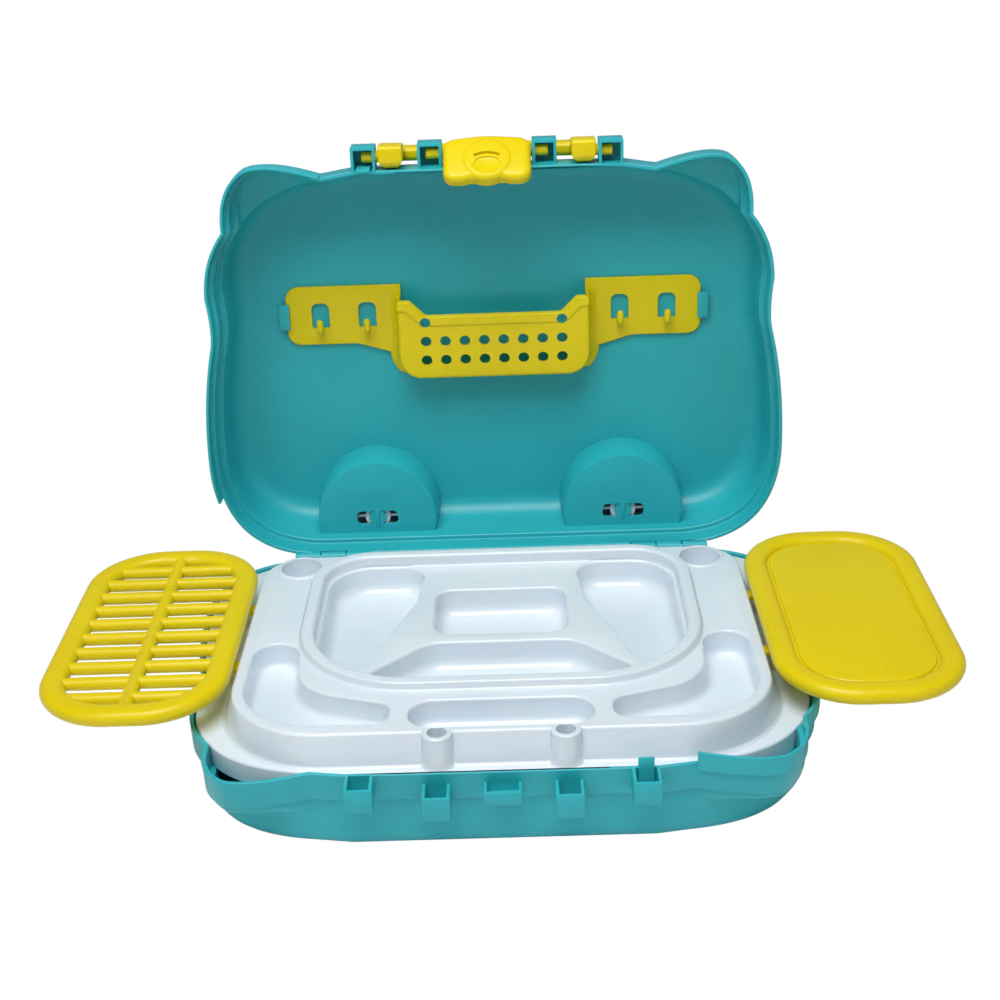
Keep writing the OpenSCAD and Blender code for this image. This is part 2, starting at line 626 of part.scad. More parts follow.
// ---- organiser --------------------------------------------------------------
window_w = 11;
window_h = 16;
windows_x = [75.5, 104.5];
hole_pitch = 11.9;
step_x = 41;                                // half width of the lowered part of the pocket's edge
step_h = 9.5;
pocket_face_d = org_d - pocket_out;
pocket_top = pocket_v + pocket_h;
pocket_x = pocket_w / 2;
pocket_outline = rounded([[-pocket_x, pocket_v, 14], [pocket_x, pocket_v, 14],
    [pocket_x, pocket_top, 3], [step_x + step_h, pocket_top, 4],
    [step_x, pocket_top - step_h, 4], [-step_x, pocket_top - step_h, 4],
    [-step_x - step_h, pocket_top, 4], [-pocket_x, pocket_top, 3]]);
wing_low = org_v - wing_h / 2;
wing_top = org_v + wing_h / 2;
wing_outline = rounded([[-org_w / 2, wing_low, 8], [-pocket_x - 26, wing_low, 20],
    [-pocket_x - 1, pocket_v + 12, 4], [-pocket_x + 14, pocket_v, 12], [pocket_x - 14, pocket_v, 12],
    [pocket_x + 1, pocket_v + 12, 4], [pocket_x + 26, wing_low, 20],
    [org_w / 2, wing_low, 8], [org_w / 2, wing_top, 8], [-org_w / 2, wing_top, 8]]);
peg_r = 1.9;
// Peg that stands out under a window and turns up
module peg(x) translate([x, org_v - window_h / 2 - 0.5, org_d]) {
    translate([0, 0, -7]) cylinder(r = peg_r, h = 7.5, $fn = 24);
    translate([0, 0, -7]) sphere(r = peg_r, $fn = 24);
    translate([0, 0, -7]) rotate([-90, 0, 0]) cylinder(r = peg_r, h = 7, $fn = 24);
    translate([0, 7, -7]) sphere(r = peg_r, $fn = 24);
}
module organiser() color(yellow) in_lid() {
    difference() {
        union() {
            difference() {
                slab(wing_outline, org_d, org_d + org_t);
                slab(round_rect([0, pocket_v + pocket_h / 2 + 20],
                        pocket_w - 2 * org_t, pocket_h + 24, 4, 30),
                    org_d - over, org_d + org_t + over);
            }
            difference() {
                slab(pocket_outline, pocket_face_d, org_d + org_t);
                slab(round_rect([0, pocket_v + pocket_h / 2 + 10 + org_t],
                        pocket_w - 2 * org_t, pocket_h + 20, 12, 15),
                    pocket_face_d + org_t, org_d + org_t + over);
            }
        }
        for (row = [0, 1], k = [0:holes - 1])
            translate([(k - (holes - 1) / 2) * hole_pitch, pocket_v + 12.5 + 12 * row, pocket_face_d - over])
                cylinder(r = hole_r, h = org_t + 2 * over, $fn = 32);
        for (s = [-1, 1]) translate([s * (holes - 1) / 2 * hole_pitch, pocket_v + 36.5, pocket_face_d - over])
            cylinder(r = hole_r, h = org_t + 2 * over, $fn = 32);
        for (s = [-1, 1], x = windows_x)
            translate([s * x, org_v, 0])
                slab(rounded([[-window_w / 2, -window_h / 2, 1.5], [window_w / 2, -window_h / 2, 1.5],
                    [window_w / 2, window_h / 2, 4], [-window_w / 2, window_h / 2, 4]], 30),
                org_d - over, org_d + org_t + over);
    }
    for (s = [-1, 1], x = windows_x) peg(s * x);
}

// ---- handle -----------------------------------------------------------------
arm_w = 14;
pin_l = 10;                                 // how far a pin reaches into its socket
grip_h = 6.5;
grip_t = 12;
grip_drop = 3.2;                            // from the pivot back to the middle of the folded grip
handle_half = outer_socket_x - socket_w / 2 - 1.5;
module handle_bar(x0, x1, pts) translate([x0, 0, 0]) rotate([90, 0, 90]) linear_extrude(x1 - x0) polygon(pts);
// Section of the arms in the v-d plane, from the pivot out to the grip
arm_end = handle_arm + grip_t / 2;
arm_up = 6.6;                               // how far the arm's foot stands above the pivot
arm_foot = 7.4;                             // length of the foot past the pivot
grip_top = grip_h / 2 - grip_drop;
grip_low = -grip_h / 2 - grip_drop;
arm_section = rounded([[grip_low, -arm_foot + 1.4, 5], [arm_up, -arm_foot + 1.4, 4], [arm_up, arm_foot, 4],
    [grip_top, 1.6 * arm_foot, 6], [grip_top, arm_end, 2], [grip_low, arm_end, 2]]);
grip_section = round_rect([-grip_drop, handle_arm], grip_h, grip_t, 3);
module handle() color(yellow) in_lid() translate([0, pivot_v, handle_d]) {
    for (s = [-1, 1]) {
        handle_bar(s > 0 ? handle_half - arm_w : -handle_half,
            s > 0 ? handle_half : -handle_half + arm_w, arm_section);
        translate([s > 0 ? handle_half - 1 : -handle_half - pin_l, 0, 0]) rotate([0, 90, 0])
            cylinder(r = pivot_r, h = pin_l + 1, $fn = 48);
    }
    handle_bar(-handle_half + 1, handle_half - 1, grip_section);
}

// ---- latch ------------------------------------------------------------------
// Drawn closed, round its pivot: y outwards, z away from the other shell
latch_swing = 38;                           // how far it hangs inwards while the lid is open
latch_out = 8.5;                            // outer face of the plate
latch_back = 5.6;                           // how far the plate reaches behind the pivot
latch_front = latch_l - latch_back;
disc_r = 14.5;
disc_z = -9;
hook_z = latch_d + socket_drop + catch_h + seat_gap;
latch_hollow = 2.3;                         // plate left in front of the catches
module latch_plate() translate([0, latch_out, 0]) rotate([90, 0, 0]) linear_extrude(latch_t) {
    for (s = [-1, 1]) {
        translate([s * (latch_w / 2 - 7), 7 - latch_front]) circle(r = 7, $fn = 32);
        translate([s * (latch_w / 2 - 5), latch_back - 5]) circle(r = 5, $fn = 32);
        translate([s * (latch_w / 2 - 4) - 4, 7 - latch_front]) square([8, latch_l - 12]);
    }
    translate([-latch_w / 2 + 5, 0.8 - latch_front]) square([latch_w - 10, latch_l - 0.8]);
}
module latch() color(yellow) in_lid() translate([0, pivot_v, latch_d]) rotate([-latch_swing, 0, 0]) {
    difference() {
        union() {
            latch_plate();
            translate([0, latch_out + 2, disc_z]) rotate([90, 0, 0])
                cylinder(r1 = disc_r - 1, r2 = disc_r, h = 3, $fn = 48);
        }
        block(-catch_w / 2 - 1, catch_w / 2 + 1, 0, latch_out - latch_hollow, -hook_z - 0.01, latch_back + 1);
        // arched slot in the raised disc
        translate([0, latch_out + 3, disc_z - 8]) rotate([90, 0, 0]) linear_extrude(2.5) intersection() {
            difference() {
                circle(r = 13, $fn = 48);
                circle(r = 10, $fn = 48);
            }
            translate([-6, 0]) square([12, 20]);
        }
    }
    // lip that snaps under the other shell's catch
    block(-catch_w / 2, catch_w / 2, 0, latch_out - 1, -latch_front, -hook_z);
    for (s = [-1, 1]) translate([s > 0 ? latch_w / 2 - 5 : -latch_w / 2, 0, 0]) {
        rotate([0, 90, 0]) cylinder(r = 4.2, h = 5, $fn = 36);
        block(0, 5, 0, latch_out - 1, -4.2, 4.2);
    }
    for (s = [-1, 1]) translate([s > 0 ? latch_w / 2 - 1 : -latch_w / 2 - 10, 0, 0]) rotate([0, 90, 0])
        cylinder(r = pivot_r, h = 11, $fn = 48);
}

base_shell();
lid_shell();
hinge_pin_left();
hinge_pin_right();
play_tray();
bar_rack();
side_board();
organiser();
latch();
handle();
base_wheel_left();
base_wheel_right();
lid_wheel_left();
lid_wheel_right();
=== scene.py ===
"""Looks of a toy carry case that stands open as a play table.

The CAD pieces give the places and sizes. The moulded pieces that show most are
rebuilt here with finer curves and rounded edges, in the same places. Shapes are
drawn in millimetres and go into the scene in metres.
"""

import json
import logging
import math
from dataclasses import dataclass
from enum import Enum

import bmesh
import bpy
import numpy as np
from mathutils import Matrix, Vector


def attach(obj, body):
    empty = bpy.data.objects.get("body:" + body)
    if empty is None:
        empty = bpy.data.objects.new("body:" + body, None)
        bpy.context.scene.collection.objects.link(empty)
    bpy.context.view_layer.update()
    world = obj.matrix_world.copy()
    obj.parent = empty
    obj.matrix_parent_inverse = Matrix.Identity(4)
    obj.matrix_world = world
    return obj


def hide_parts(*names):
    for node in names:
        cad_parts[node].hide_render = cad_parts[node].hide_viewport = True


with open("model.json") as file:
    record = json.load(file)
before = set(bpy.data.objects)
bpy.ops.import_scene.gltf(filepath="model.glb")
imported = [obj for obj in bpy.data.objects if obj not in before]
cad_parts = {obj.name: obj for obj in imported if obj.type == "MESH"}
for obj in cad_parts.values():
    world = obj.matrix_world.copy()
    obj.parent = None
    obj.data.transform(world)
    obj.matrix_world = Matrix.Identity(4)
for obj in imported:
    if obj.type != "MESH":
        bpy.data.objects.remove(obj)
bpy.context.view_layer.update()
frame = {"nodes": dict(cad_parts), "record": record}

MM = 0.001
Pair = tuple[float, float]
Triple = tuple[float, float, float]
log = logging.getLogger("toy_case")


# ---- colour and material ----------------------------------------------------


def linear(hex_colour: str) -> tuple[float, float, float, float]:
    """Turns an sRGB colour into the linear one that a shader takes.

    Args:
        hex_colour: The colour as #RRGGBB.

    Returns:
        Red, green, blue and alpha.
    """
    parts = [int(hex_colour[i : i + 2], 16) / 255 for i in (1, 3, 5)]
    return (*[p / 12.92 if p <= 0.04045 else ((p + 0.055) / 1.055) ** 2.4 for p in parts], 1.0)


def per_metre(size: float) -> float:
    """The scale of a pattern whose cells have this size in millimetres."""
    return 1.0 / (size * MM)


def add_node(
    tree: bpy.types.NodeTree, kind: str, inputs: dict | None = None, **settings: object
) -> bpy.types.Node:
    """Adds a node with its settings, input values and links.

    Args:
        tree: The tree that gets the node.
        kind: The node's type name.
        inputs: Values or output sockets by input name or number.
        **settings: Attributes of the node itself.

    Returns:
        The new node.
    """
    node = tree.nodes.new(kind)
    for name, value in settings.items():
        setattr(node, name, value)
    for key, value in (inputs or {}).items():
        if isinstance(value, bpy.types.NodeSocket):
            tree.links.new(value, node.inputs[key])
        else:
            node.inputs[key].default_value = value
    return node


def empty_material(name: str) -> tuple[bpy.types.Material, bpy.types.NodeTree]:
    """Starts a material.

    Args:
        name: The finish's name.

    Returns:
        The material and its empty tree.
    """
    material = bpy.data.materials.new(name)
    material.use_nodes = True
    material.node_tree.nodes.clear()
    return material, material.node_tree


class Slot(Enum):
    """Material slots of the record."""

    TEAL = "teal_plastic"
    YELLOW = "yellow_plastic"
    WHITE = "white_plastic"
    STEEL = "pin_steel"


@dataclass(frozen=True)
class MouldedPlastic:
    """Injection-moulded plastic: faint flow clouds, fine tool grain and hairline scuffs.

    Pattern sizes are in millimetres.
    """

    name: str
    base: str
    deep: str
    roughness: float
    grain: float
    scatter: float
    shine: float
    coat: float = 0.0
    cloud_size: float = 62.5
    grain_size: float = 0.5263
    wave_size: float = 29.41
    scuff_size: Triple = (11.11, 1.4286, 4.1667)
    scuff_turn: Triple = (0.3, 0.5, 0.7)
    scuff_depth: float = 0.09
    plastic_ior: float = 1.49

    def make(self) -> bpy.types.Material:
        """Builds the material.

        Returns:
            The finished material.
        """
        material, tree = empty_material(self.name)
        place = add_node(tree, "ShaderNodeTexCoord").outputs["Object"]
        # the melt's flow leaves soft clouds of colour and gloss
        flow = {"Vector": place, "Scale": per_metre(self.cloud_size), "Detail": 3.0, "Roughness": 0.45}
        cloud = add_node(tree, "ShaderNodeTexNoise", flow).outputs["Fac"]
        band = {"Value": cloud, "From Min": 0.3, "From Max": 0.7}
        tone = add_node(tree, "ShaderNodeMapRange", band).outputs["Result"]
        tones = {"Factor": tone, 6: linear(self.deep), 7: linear(self.base)}
        colour = add_node(tree, "ShaderNodeMix", tones, data_type="RGBA").outputs[2]
        # hairline scuffs: stretched noise, cut to thin lines that are rougher than the rest
        scale = tuple(map(per_metre, self.scuff_size))
        drawn = {"Vector": place, "Scale": scale, "Rotation": self.scuff_turn}
        stretch = add_node(tree, "ShaderNodeMapping", drawn).outputs["Vector"]
        scuff = add_node(tree, "ShaderNodeTexNoise", {"Vector": stretch, "Scale": 1.0, "Detail": 5.0})
        cut = {"Value": scuff.outputs["Fac"], "From Min": 0.64, "From Max": 0.72, "To Max": self.scuff_depth}
        line = add_node(tree, "ShaderNodeMapRange", cut).outputs["Result"]
        gloss = {**band, "To Min": self.roughness - 0.03, "To Max": self.roughness + 0.04}
        rough = add_node(tree, "ShaderNodeMapRange", gloss).outputs["Result"]
        total = add_node(tree, "ShaderNodeMath", {0: rough, 1: line}, operation="ADD").outputs[0]
        # slow unevenness of a large thin moulding, and the fine grain of the tool's surface on it
        slow = {"Vector": place, "Scale": per_metre(self.wave_size), "Detail": 1.0}
        wave = add_node(tree, "ShaderNodeTexNoise", slow).outputs["Fac"]
        uneven = add_node(tree, "ShaderNodeBump", {"Height": wave, "Strength": 0.06, "Distance": 2 * MM})
        fine = {"Vector": place, "Scale": per_metre(self.grain_size), "Detail": 2.0}
        grain = add_node(tree, "ShaderNodeTexNoise", fine).outputs["Fac"]
        relief = {"Height": grain, "Normal": uneven.outputs[0], "Strength": self.grain, "Distance": 0.2 * MM}
        bump = add_node(tree, "ShaderNodeBump", relief).outputs["Normal"]
        surface = {
            "Base Color": colour,
            "Roughness": total,
            "Normal": bump,
            "IOR": self.plastic_ior,
            "Specular IOR Level": self.shine,
            "Subsurface Weight": self.scatter,
            "Subsurface Scale": 4 * MM,
            "Coat Weight": self.coat,
            "Coat Roughness": 0.12,
        }
        shader = add_node(tree, "ShaderNodeBsdfPrincipled", surface).outputs["BSDF"]
        add_node(tree, "ShaderNodeOutputMaterial", {"Surface": shader})
        return material


@dataclass(frozen=True)
class DrawnSteel:
    """Plain steel wire with drawing lines along it; their size is in millimetres."""

    name: str = "drawn_steel_wire"
    base: str = "#B9BCC0"
    line_size: Triple = (50.0, 0.4, 0.4)

    def make(self) -> bpy.types.Material:
        """Builds the material.

        Returns:
            The finished material.
        """
        material, tree = empty_material(self.name)
        place = add_node(tree, "ShaderNodeTexCoord").outputs["Object"]
        drawn = {"Vector": place, "Scale": tuple(map(per_metre, self.line_size))}
        stretch = add_node(tree, "ShaderNodeMapping", drawn).outputs["Vector"]
        # the die's lines make the wire duller in fine streaks
        lines = add_node(tree, "ShaderNodeTexNoise", {"Vector": stretch, "Scale": 1.0, "Detail": 3.0})
        streaks = {"Value": lines.outputs["Fac"], "To Min": 0.22, "To Max": 0.42}
        rough = add_node(tree, "ShaderNodeMapRange", streaks).outputs["Result"]
        surface = {"Base Color": linear(self.base), "Metallic": 1.0, "Roughness": rough}
        shader = add_node(tree, "ShaderNodeBsdfPrincipled", surface).outputs["BSDF"]
        add_node(tree, "ShaderNodeOutputMaterial", {"Surface": shader})
        return material


# Polypropylene is waxy and satin, and lets a little light in.
TEAL = MouldedPlastic(
    "satin_teal_polypropylene", "#2CB2BC", "#28AAB4", roughness=0.36, grain=0.10, scatter=0.06, shine=0.4
)
# The organiser, latch, handle and side plates are smoother and denser.
YELLOW = MouldedPlastic(
    "gloss_yellow_plastic", "#E6D008", "#E0C805", roughness=0.28, grain=0.05, scatter=0.03, shine=0.3
)
# The tray is the glossiest and the most translucent.
WHITE = MouldedPlastic(
    "gloss_white_plastic", "#DEE8F0", "#D8E3EC", roughness=0.22, grain=0.04, scatter=0.12, shine=0.5, coat=0.2
)


class Finishes:
    """The finishes of the case, one for each material slot."""

    def __init__(self) -> None:
        """Builds the four materials."""
        finishes = {Slot.TEAL: TEAL, Slot.YELLOW: YELLOW, Slot.WHITE: WHITE, Slot.STEEL: DrawnSteel()}
        self.by_slot = {slot: finish.make() for slot, finish in finishes.items()}

    def dress(self, piece: bpy.types.Object, slot: Slot) -> None:
        """Gives a piece one finish on all its faces."""
        piece.data.materials.clear()
        piece.data.materials.append(self.by_slot[slot])


# ---- outlines ---------------------------------------------------------------

Points = np.ndarray
Rings = list[tuple[float, Points]]
Corners = list[Triple]
QUARTER = [(math.sin(a), math.cos(a)) for a in np.linspace(0, math.pi / 2, 6)]


def bend(a: tuple, b: tuple, c: tuple, count: int) -> Points:
    """A curve from a to c that is pulled towards b.

    Args:
        a: Where it starts.
        b: What pulls it.
        c: Where it ends.
        count: How many points.

    Returns:
        The points, without c itself.
    """
    t = np.arange(count)[:, None] / count
    a, b, c = (np.array(p, float) for p in (a, b, c))
    return (1 - t) ** 2 * a + 2 * t * (1 - t) * b + t**2 * c


def inset(points: Points, gap: float) -> Points:
    """Moves a closed counter-clockwise outline inwards.

    Args:
        points: The outline.
        gap: How far, negative for outwards.

    Returns:
        The moved outline, point for point.
    """
    before = points - np.roll(points, 1, axis=0)
    after = np.roll(points, -1, axis=0) - points
    along = before / np.linalg.norm(before, axis=1)[:, None] + after / np.linalg.norm(after, axis=1)[:, None]
    across = np.stack([-along[:, 1], along[:, 0]], axis=1)
    return points + 2 * gap * across / (along**2).sum(axis=1)[:, None]


def mirrored(points: Points) -> Points:
    """The outline on the other side, still counter-clockwise."""
    return points[::-1] * np.array([-1.0, 1.0])


def rounded(corners: Corners, step: float = 5.0) -> Points:
    """A closed outline whose corners are rounded.

    Args:
        corners: Corner points and their radii.
        step: Degrees between points on a corner.

    Returns:
        The outline's points.
    """
    made = []
    for i, (x, y, radius) in enumerate(corners):
        p = np.array([x, y])
        u = np.array(corners[i - 1][:2]) - p
        w = np.array(corners[(i + 1) % len(corners)][:2]) - p
        u, w = u / np.linalg.norm(u), w / np.linalg.norm(w)
        half = math.acos(max(-1.0, min(1.0, float(u @ w)))) / 2
        centre = p + (u + w) / np.linalg.norm(u + w) * radius / math.sin(half)
        start = p + u * radius / math.tan(half) - centre
        end = p + w * radius / math.tan(half) - centre
        side = 1.0 if start[0] * end[1] - start[1] * end[0] > 0 else -1.0
        turn = math.pi - 2 * half
        count = max(2, math.ceil(math.degrees(turn) / step))
        for k in range(count + 1):
            a = side * turn * k / count
            along = start[0] * math.cos(a) - start[1] * math.sin(a)
            made.append(centre + [along, start[0] * math.sin(a) + start[1] * math.cos(a)])
    return np.array(made)


def round_rect(cx: float, cy: float, w: float, l: float, radius: float, step: float = 5.0) -> Points:
    """A rounded rectangle round a centre."""
    signs = ((-1, -1), (1, -1), (1, 1), (-1, 1))
    return rounded([(cx + i * w / 2, cy + j * l / 2, radius) for i, j in signs], step)


def ring(cx: float, cy: float, radius: float, count: int = 64) -> Points:
    """A circle round a centre."""
    a = np.arange(count) * 2 * math.pi / count
    return np.stack([cx + radius * np.cos(a), cy + radius * np.sin(a)], axis=1)


def rising(
    points: Points, height: float, radius: float, gap: float = 0.0, side: float = 1.0, sunk: float = 0.0
) -> Rings:
    """A quarter round that rises from a lower face.

    Args:
        points: The outline.
        height: Height of the lower face.
        radius: Radius of the round.
        gap: How far inside the outline it ends.
        side: 1 for a rounded edge, -1 for a fillet that spreads out below.
        sunk: How far the first ring is let into the body below.

    Returns:
        The round's rings, from low to high.
    """
    rings = [(height + radius * (1 - c), inset(points, gap + side * radius * (1 - s))) for s, c in QUARTER]
    rings[0] = (height - sunk, rings[0][1])
    return rings


def closing(points: Points, height: float, radius: float, gap: float = 0.0, side: float = 1.0) -> Rings:
    """A quarter round that ends at an upper face.

    Args:
        points: The outline.
        height: Height of the upper face.
        radius: Radius of the round.
        gap: How far inside the outline it starts.
        side: 1 for a rounded edge, -1 for one that opens outwards.

    Returns:
        The round's rings, from low to high.
    """
    return [(height - radius * (1 - s), inset(points, gap + side * radius * (1 - c))) for s, c in QUARTER]


# ---- solids -----------------------------------------------------------------

SHARP_ANGLE = 32.0
MERGE = 1e-6
SLIVER = 1e-7
TURN_X = Matrix.Rotation(math.pi / 2, 4, "Y")
ALONG_X = Matrix(((0, 0, 1, 0), (1, 0, 0, 0), (0, 1, 0, 0), (0, 0, 0, 1)))
FACE_Y = Matrix.Rotation(-math.pi / 2, 4, "X")
MIRROR_X = Matrix.Scale(-1, 4, (1, 0, 0))
SQUARE_END = 0.0001


class Solid:
    """A closed mesh that can be joined to others or cut by them."""

    def __init__(self, mesh: bpy.types.Mesh) -> None:
        """Keeps the mesh."""
        self.mesh = mesh

    @classmethod
    def loft(cls, rings: Rings) -> "Solid":
        """A body through a stack of outlines.

        Args:
            rings: Height and outline of each ring, from low to high, all with as many points.

        Returns:
            The closed body.
        """
        count = len(rings[0][1])
        verts = [(x, y, z) for z, points in rings for x, y in points]
        faces: list[tuple[int, ...]] = [tuple(range(count - 1, -1, -1))]
        for k in range(len(rings) - 1):
            low, high = k * count, (k + 1) * count
            pairs = [(i, (i + 1) % count) for i in range(count)]
            faces += [(low + i, low + j, high + j, high + i) for i, j in pairs]
        faces.append(tuple(range((len(rings) - 1) * count, len(rings) * count)))
        return cls.of(verts, faces)

    @classmethod
    def of(cls, verts: list, faces: list) -> "Solid":
        """A body from its mesh data.

        Args:
            verts: The vertices.
            faces: Vertex numbers of each face.

        Returns:
            The body.
        """
        mesh = bpy.data.meshes.new("solid")
        mesh.from_pydata([tuple(map(float, v)) for v in verts], [], faces)
        mesh.validate()
        return cls(mesh)

    @classmethod
    def slab(
        cls, points: Points, low: float, high: float, round_low: float = 0.0, round_high: float = 0.0
    ) -> "Solid":
        """A flat body with rounded edges.

        Args:
            points: The outline.
            low: Height of the lower face.
            high: Height of the upper face.
            round_low: Radius of the lower edge.
            round_high: Radius of the upper edge.

        Returns:
            The body.
        """
        lows = rising(points, low, round_low) if round_low else [(low, points)]
        highs = closing(points, high, round_high) if round_high else [(high, points)]
        return cls.loft(lows + highs)

    @classmethod
    def hollow(cls, points: Points, floor: float, top: float, foot: float, lip: float) -> "Solid":
        """What a pocket takes away: a fillet at its floor and a rounded edge at its mouth.

        Args:
            points: The pocket's outline between the fillets.
            floor: Height of the pocket's floor.
            top: Height of the face that it opens in.
            foot: Radius of the floor's fillet.
            lip: Radius of the mouth's edge.

        Returns:
            The body to cut away.
        """
        mouth = closing(points, top, lip, side=-1.0)
        return cls.loft(rising(points, floor, foot) + mouth + [(top + 1.0, inset(points, -lip))])

    @classmethod
    def block(
        cls, x0: float, x1: float, y0: float, y1: float, z0: float, z1: float, radius: float = 0.0
    ) -> "Solid":
        """A box with rounded edges.

        Args:
            x0: Left side.
            x1: Right side.
            y0: Near side.
            y1: Far side.
            z0: Lower face.
            z1: Upper face.
            radius: Radius of all its edges.

        Returns:
            The box.
        """
        bm = bmesh.new()
        made = bmesh.ops.create_cube(bm, size=1.0)
        bmesh.ops.scale(bm, vec=(x1 - x0, y1 - y0, z1 - z0), verts=made["verts"])
        bmesh.ops.translate(bm, vec=((x0 + x1) / 2, (y0 + y1) / 2, (z0 + z1) / 2), verts=bm.verts)
        if radius:
            bmesh.ops.bevel(bm, geom=bm.edges[:], offset=radius, segments=2, profile=0.5, affect="EDGES")
        return cls.from_bmesh(bm)

    @classmethod
    def lathe(cls, profile: list[Pair], count: int = 64) -> "Solid":
        """A round body about z from radius and height pairs, low to high."""
        return cls.loft([(z, ring(0.0, 0.0, r, count)) for r, z in profile])

    @classmethod
    def rod(cls, x0: float, x1: float, y: float, z: float, radius: float, soft: float = 0.4) -> "Solid":
        """A round bar along x with softened ends."""
        profile = [(radius - soft, 0.0), (radius, soft), (radius, x1 - x0 - soft), (radius - soft, x1 - x0)]
        return cls.lathe(profile, 40).moved(TURN_X).at(x0, y, z)

    @classmethod
    def from_bmesh(cls, bm: bmesh.types.BMesh) -> "Solid":
        """Takes a bmesh over.

        Args:
            bm: The mesh data, which is freed.

        Returns:
            The body.
        """
        mesh = bpy.data.meshes.new("solid")
        bm.to_mesh(mesh)
        bm.free()
        return cls(mesh)

    def moved(self, matrix: Matrix) -> "Solid":
        """Moves the body in place, and turns its faces out again after a mirror.

        Args:
            matrix: The move.

        Returns:
            The body itself.
        """
        self.mesh.transform(matrix)
        if matrix.determinant() < 0:
            self.mesh.flip_normals()
        return self

    def at(self, x: float, y: float, z: float) -> "Solid":
        """Shifts the body in place."""
        return self.moved(Matrix.Translation((x, y, z)))

    def copy(self) -> "Solid":
        """A separate body of the same shape."""
        return Solid(self.mesh.copy())

    def with_mirror(self) -> "Solid":
        """The body and its mirror image across x, as one."""
        return self.copy().joined(self.copy().moved(MIRROR_X))

    def joined(self, *others: "Solid") -> "Solid":
        """Puts bodies that don't touch into one mesh, without a boolean.

        Args:
            *others: The other bodies.

        Returns:
            All of them as one.
        """
        bm = bmesh.new()
        for solid in (self, *others):
            bm.from_mesh(solid.mesh)
        return Solid.from_bmesh(bm)

    def _boolean(self, others: tuple["Solid", ...], operation: str) -> "Solid":
        """Joins, cuts or keeps the overlap, one body after the other.

        Args:
            others: The other bodies.
            operation: UNION, DIFFERENCE or INTERSECT.

        Returns:
            The new body.
        """
        mesh = self.mesh
        for other in others:
            a, b = bpy.data.objects.new("a", mesh), bpy.data.objects.new("b", other.mesh)
            for part in (a, b):
                bpy.context.scene.collection.objects.link(part)
            boolean = a.modifiers.new("boolean", "BOOLEAN")
            boolean.operation, boolean.object, boolean.solver = operation, b, "MANIFOLD"
            mesh = plain_mesh(a)
            if not mesh.polygons:
                log.warning("the %s came out empty", operation)
            for part in (a, b):
                bpy.data.objects.remove(part)
        return Solid(mesh)

    def plus(self, *others: "Solid") -> "Solid":
        """The union with the other bodies."""
        return self._boolean(others, "UNION")

    def minus(self, *others: "Solid") -> "Solid":
        """The body less the others."""
        return self._boolean(others, "DIFFERENCE")

    def within(self, other: "Solid") -> "Solid":
        """The part of the body inside another."""
        return self._boolean((other,), "INTERSECT")

    def piece(self, name: str, place: Matrix) -> bpy.types.Object:
        """Makes the scene's object, in metres and in its place.

        Args:
            name: The piece's name.
            place: From the body's millimetres to the world's.

        Returns:
            The object, which stands at the origin.
        """
        mesh = self.mesh.copy()
        mesh.name = name
        mesh.transform(Matrix.Scale(MM, 4) @ place)
        if place.determinant() < 0:
            mesh.flip_normals()
        bm = bmesh.new()
        bm.from_mesh(mesh)
        bmesh.ops.remove_doubles(bm, verts=bm.verts, dist=MERGE)
        bmesh.ops.dissolve_degenerate(bm, dist=SLIVER, edges=bm.edges)
        bm.to_mesh(mesh)
        bm.free()
        mesh.shade_smooth()
        mesh.set_sharp_from_angle(angle=math.radians(SHARP_ANGLE))
        made = bpy.data.objects.new(name, mesh)
        bpy.context.scene.collection.objects.link(made)
        return made


def plain_mesh(carrier: bpy.types.Object) -> bpy.types.Mesh:
    """The mesh that an object's modifiers make."""
    bpy.context.view_layer.update()
    return bpy.data.meshes.new_from_object(carrier.evaluated_get(bpy.context.evaluated_depsgraph_get()))


@dataclass(frozen=True)
class Role:
    """What a piece is: its name, the CAD node that it replaces, its body and its finish."""

    name: str
    node: str
    body: str
    slot: Slot


class Assembly:
    """Puts the pieces into the scene and knows which CAD nodes they replace."""

    def __init__(self, finishes: Finishes) -> None:
        """Starts with no piece."""
        self.finishes = finishes
        self.replaced: set[str] = set()

    def show(self, solid: Solid, place: Matrix, role: Role) -> None:
        """Puts one dressed piece into the scene, in place of its CAD node.

        Args:
            solid: The piece's shape.
            place: From the shape's millimetres to the world's.
            role: What the piece is.
        """
        piece = solid.piece(role.name, place)
        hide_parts(role.node)
        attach(piece, role.body)
        self.finishes.dress(piece, role.slot)
        self.replaced.add(role.node)
        log.info("%s: %d faces", role.name, len(piece.data.polygons))

    def dress_rest(self) -> None:
        """Gives the CAD nodes that stay, the wheels and hinge wires, their finishes."""
        for record in frame["record"]["subparts"]:
            if record["node"] not in self.replaced:
                slot = Slot(record["material_slot"])
                self.finishes.dress(frame["nodes"][record["node"]], slot)
                log.info("%s: %s", record["node"], slot.value)


# ---- the shells -------------------------------------------------------------


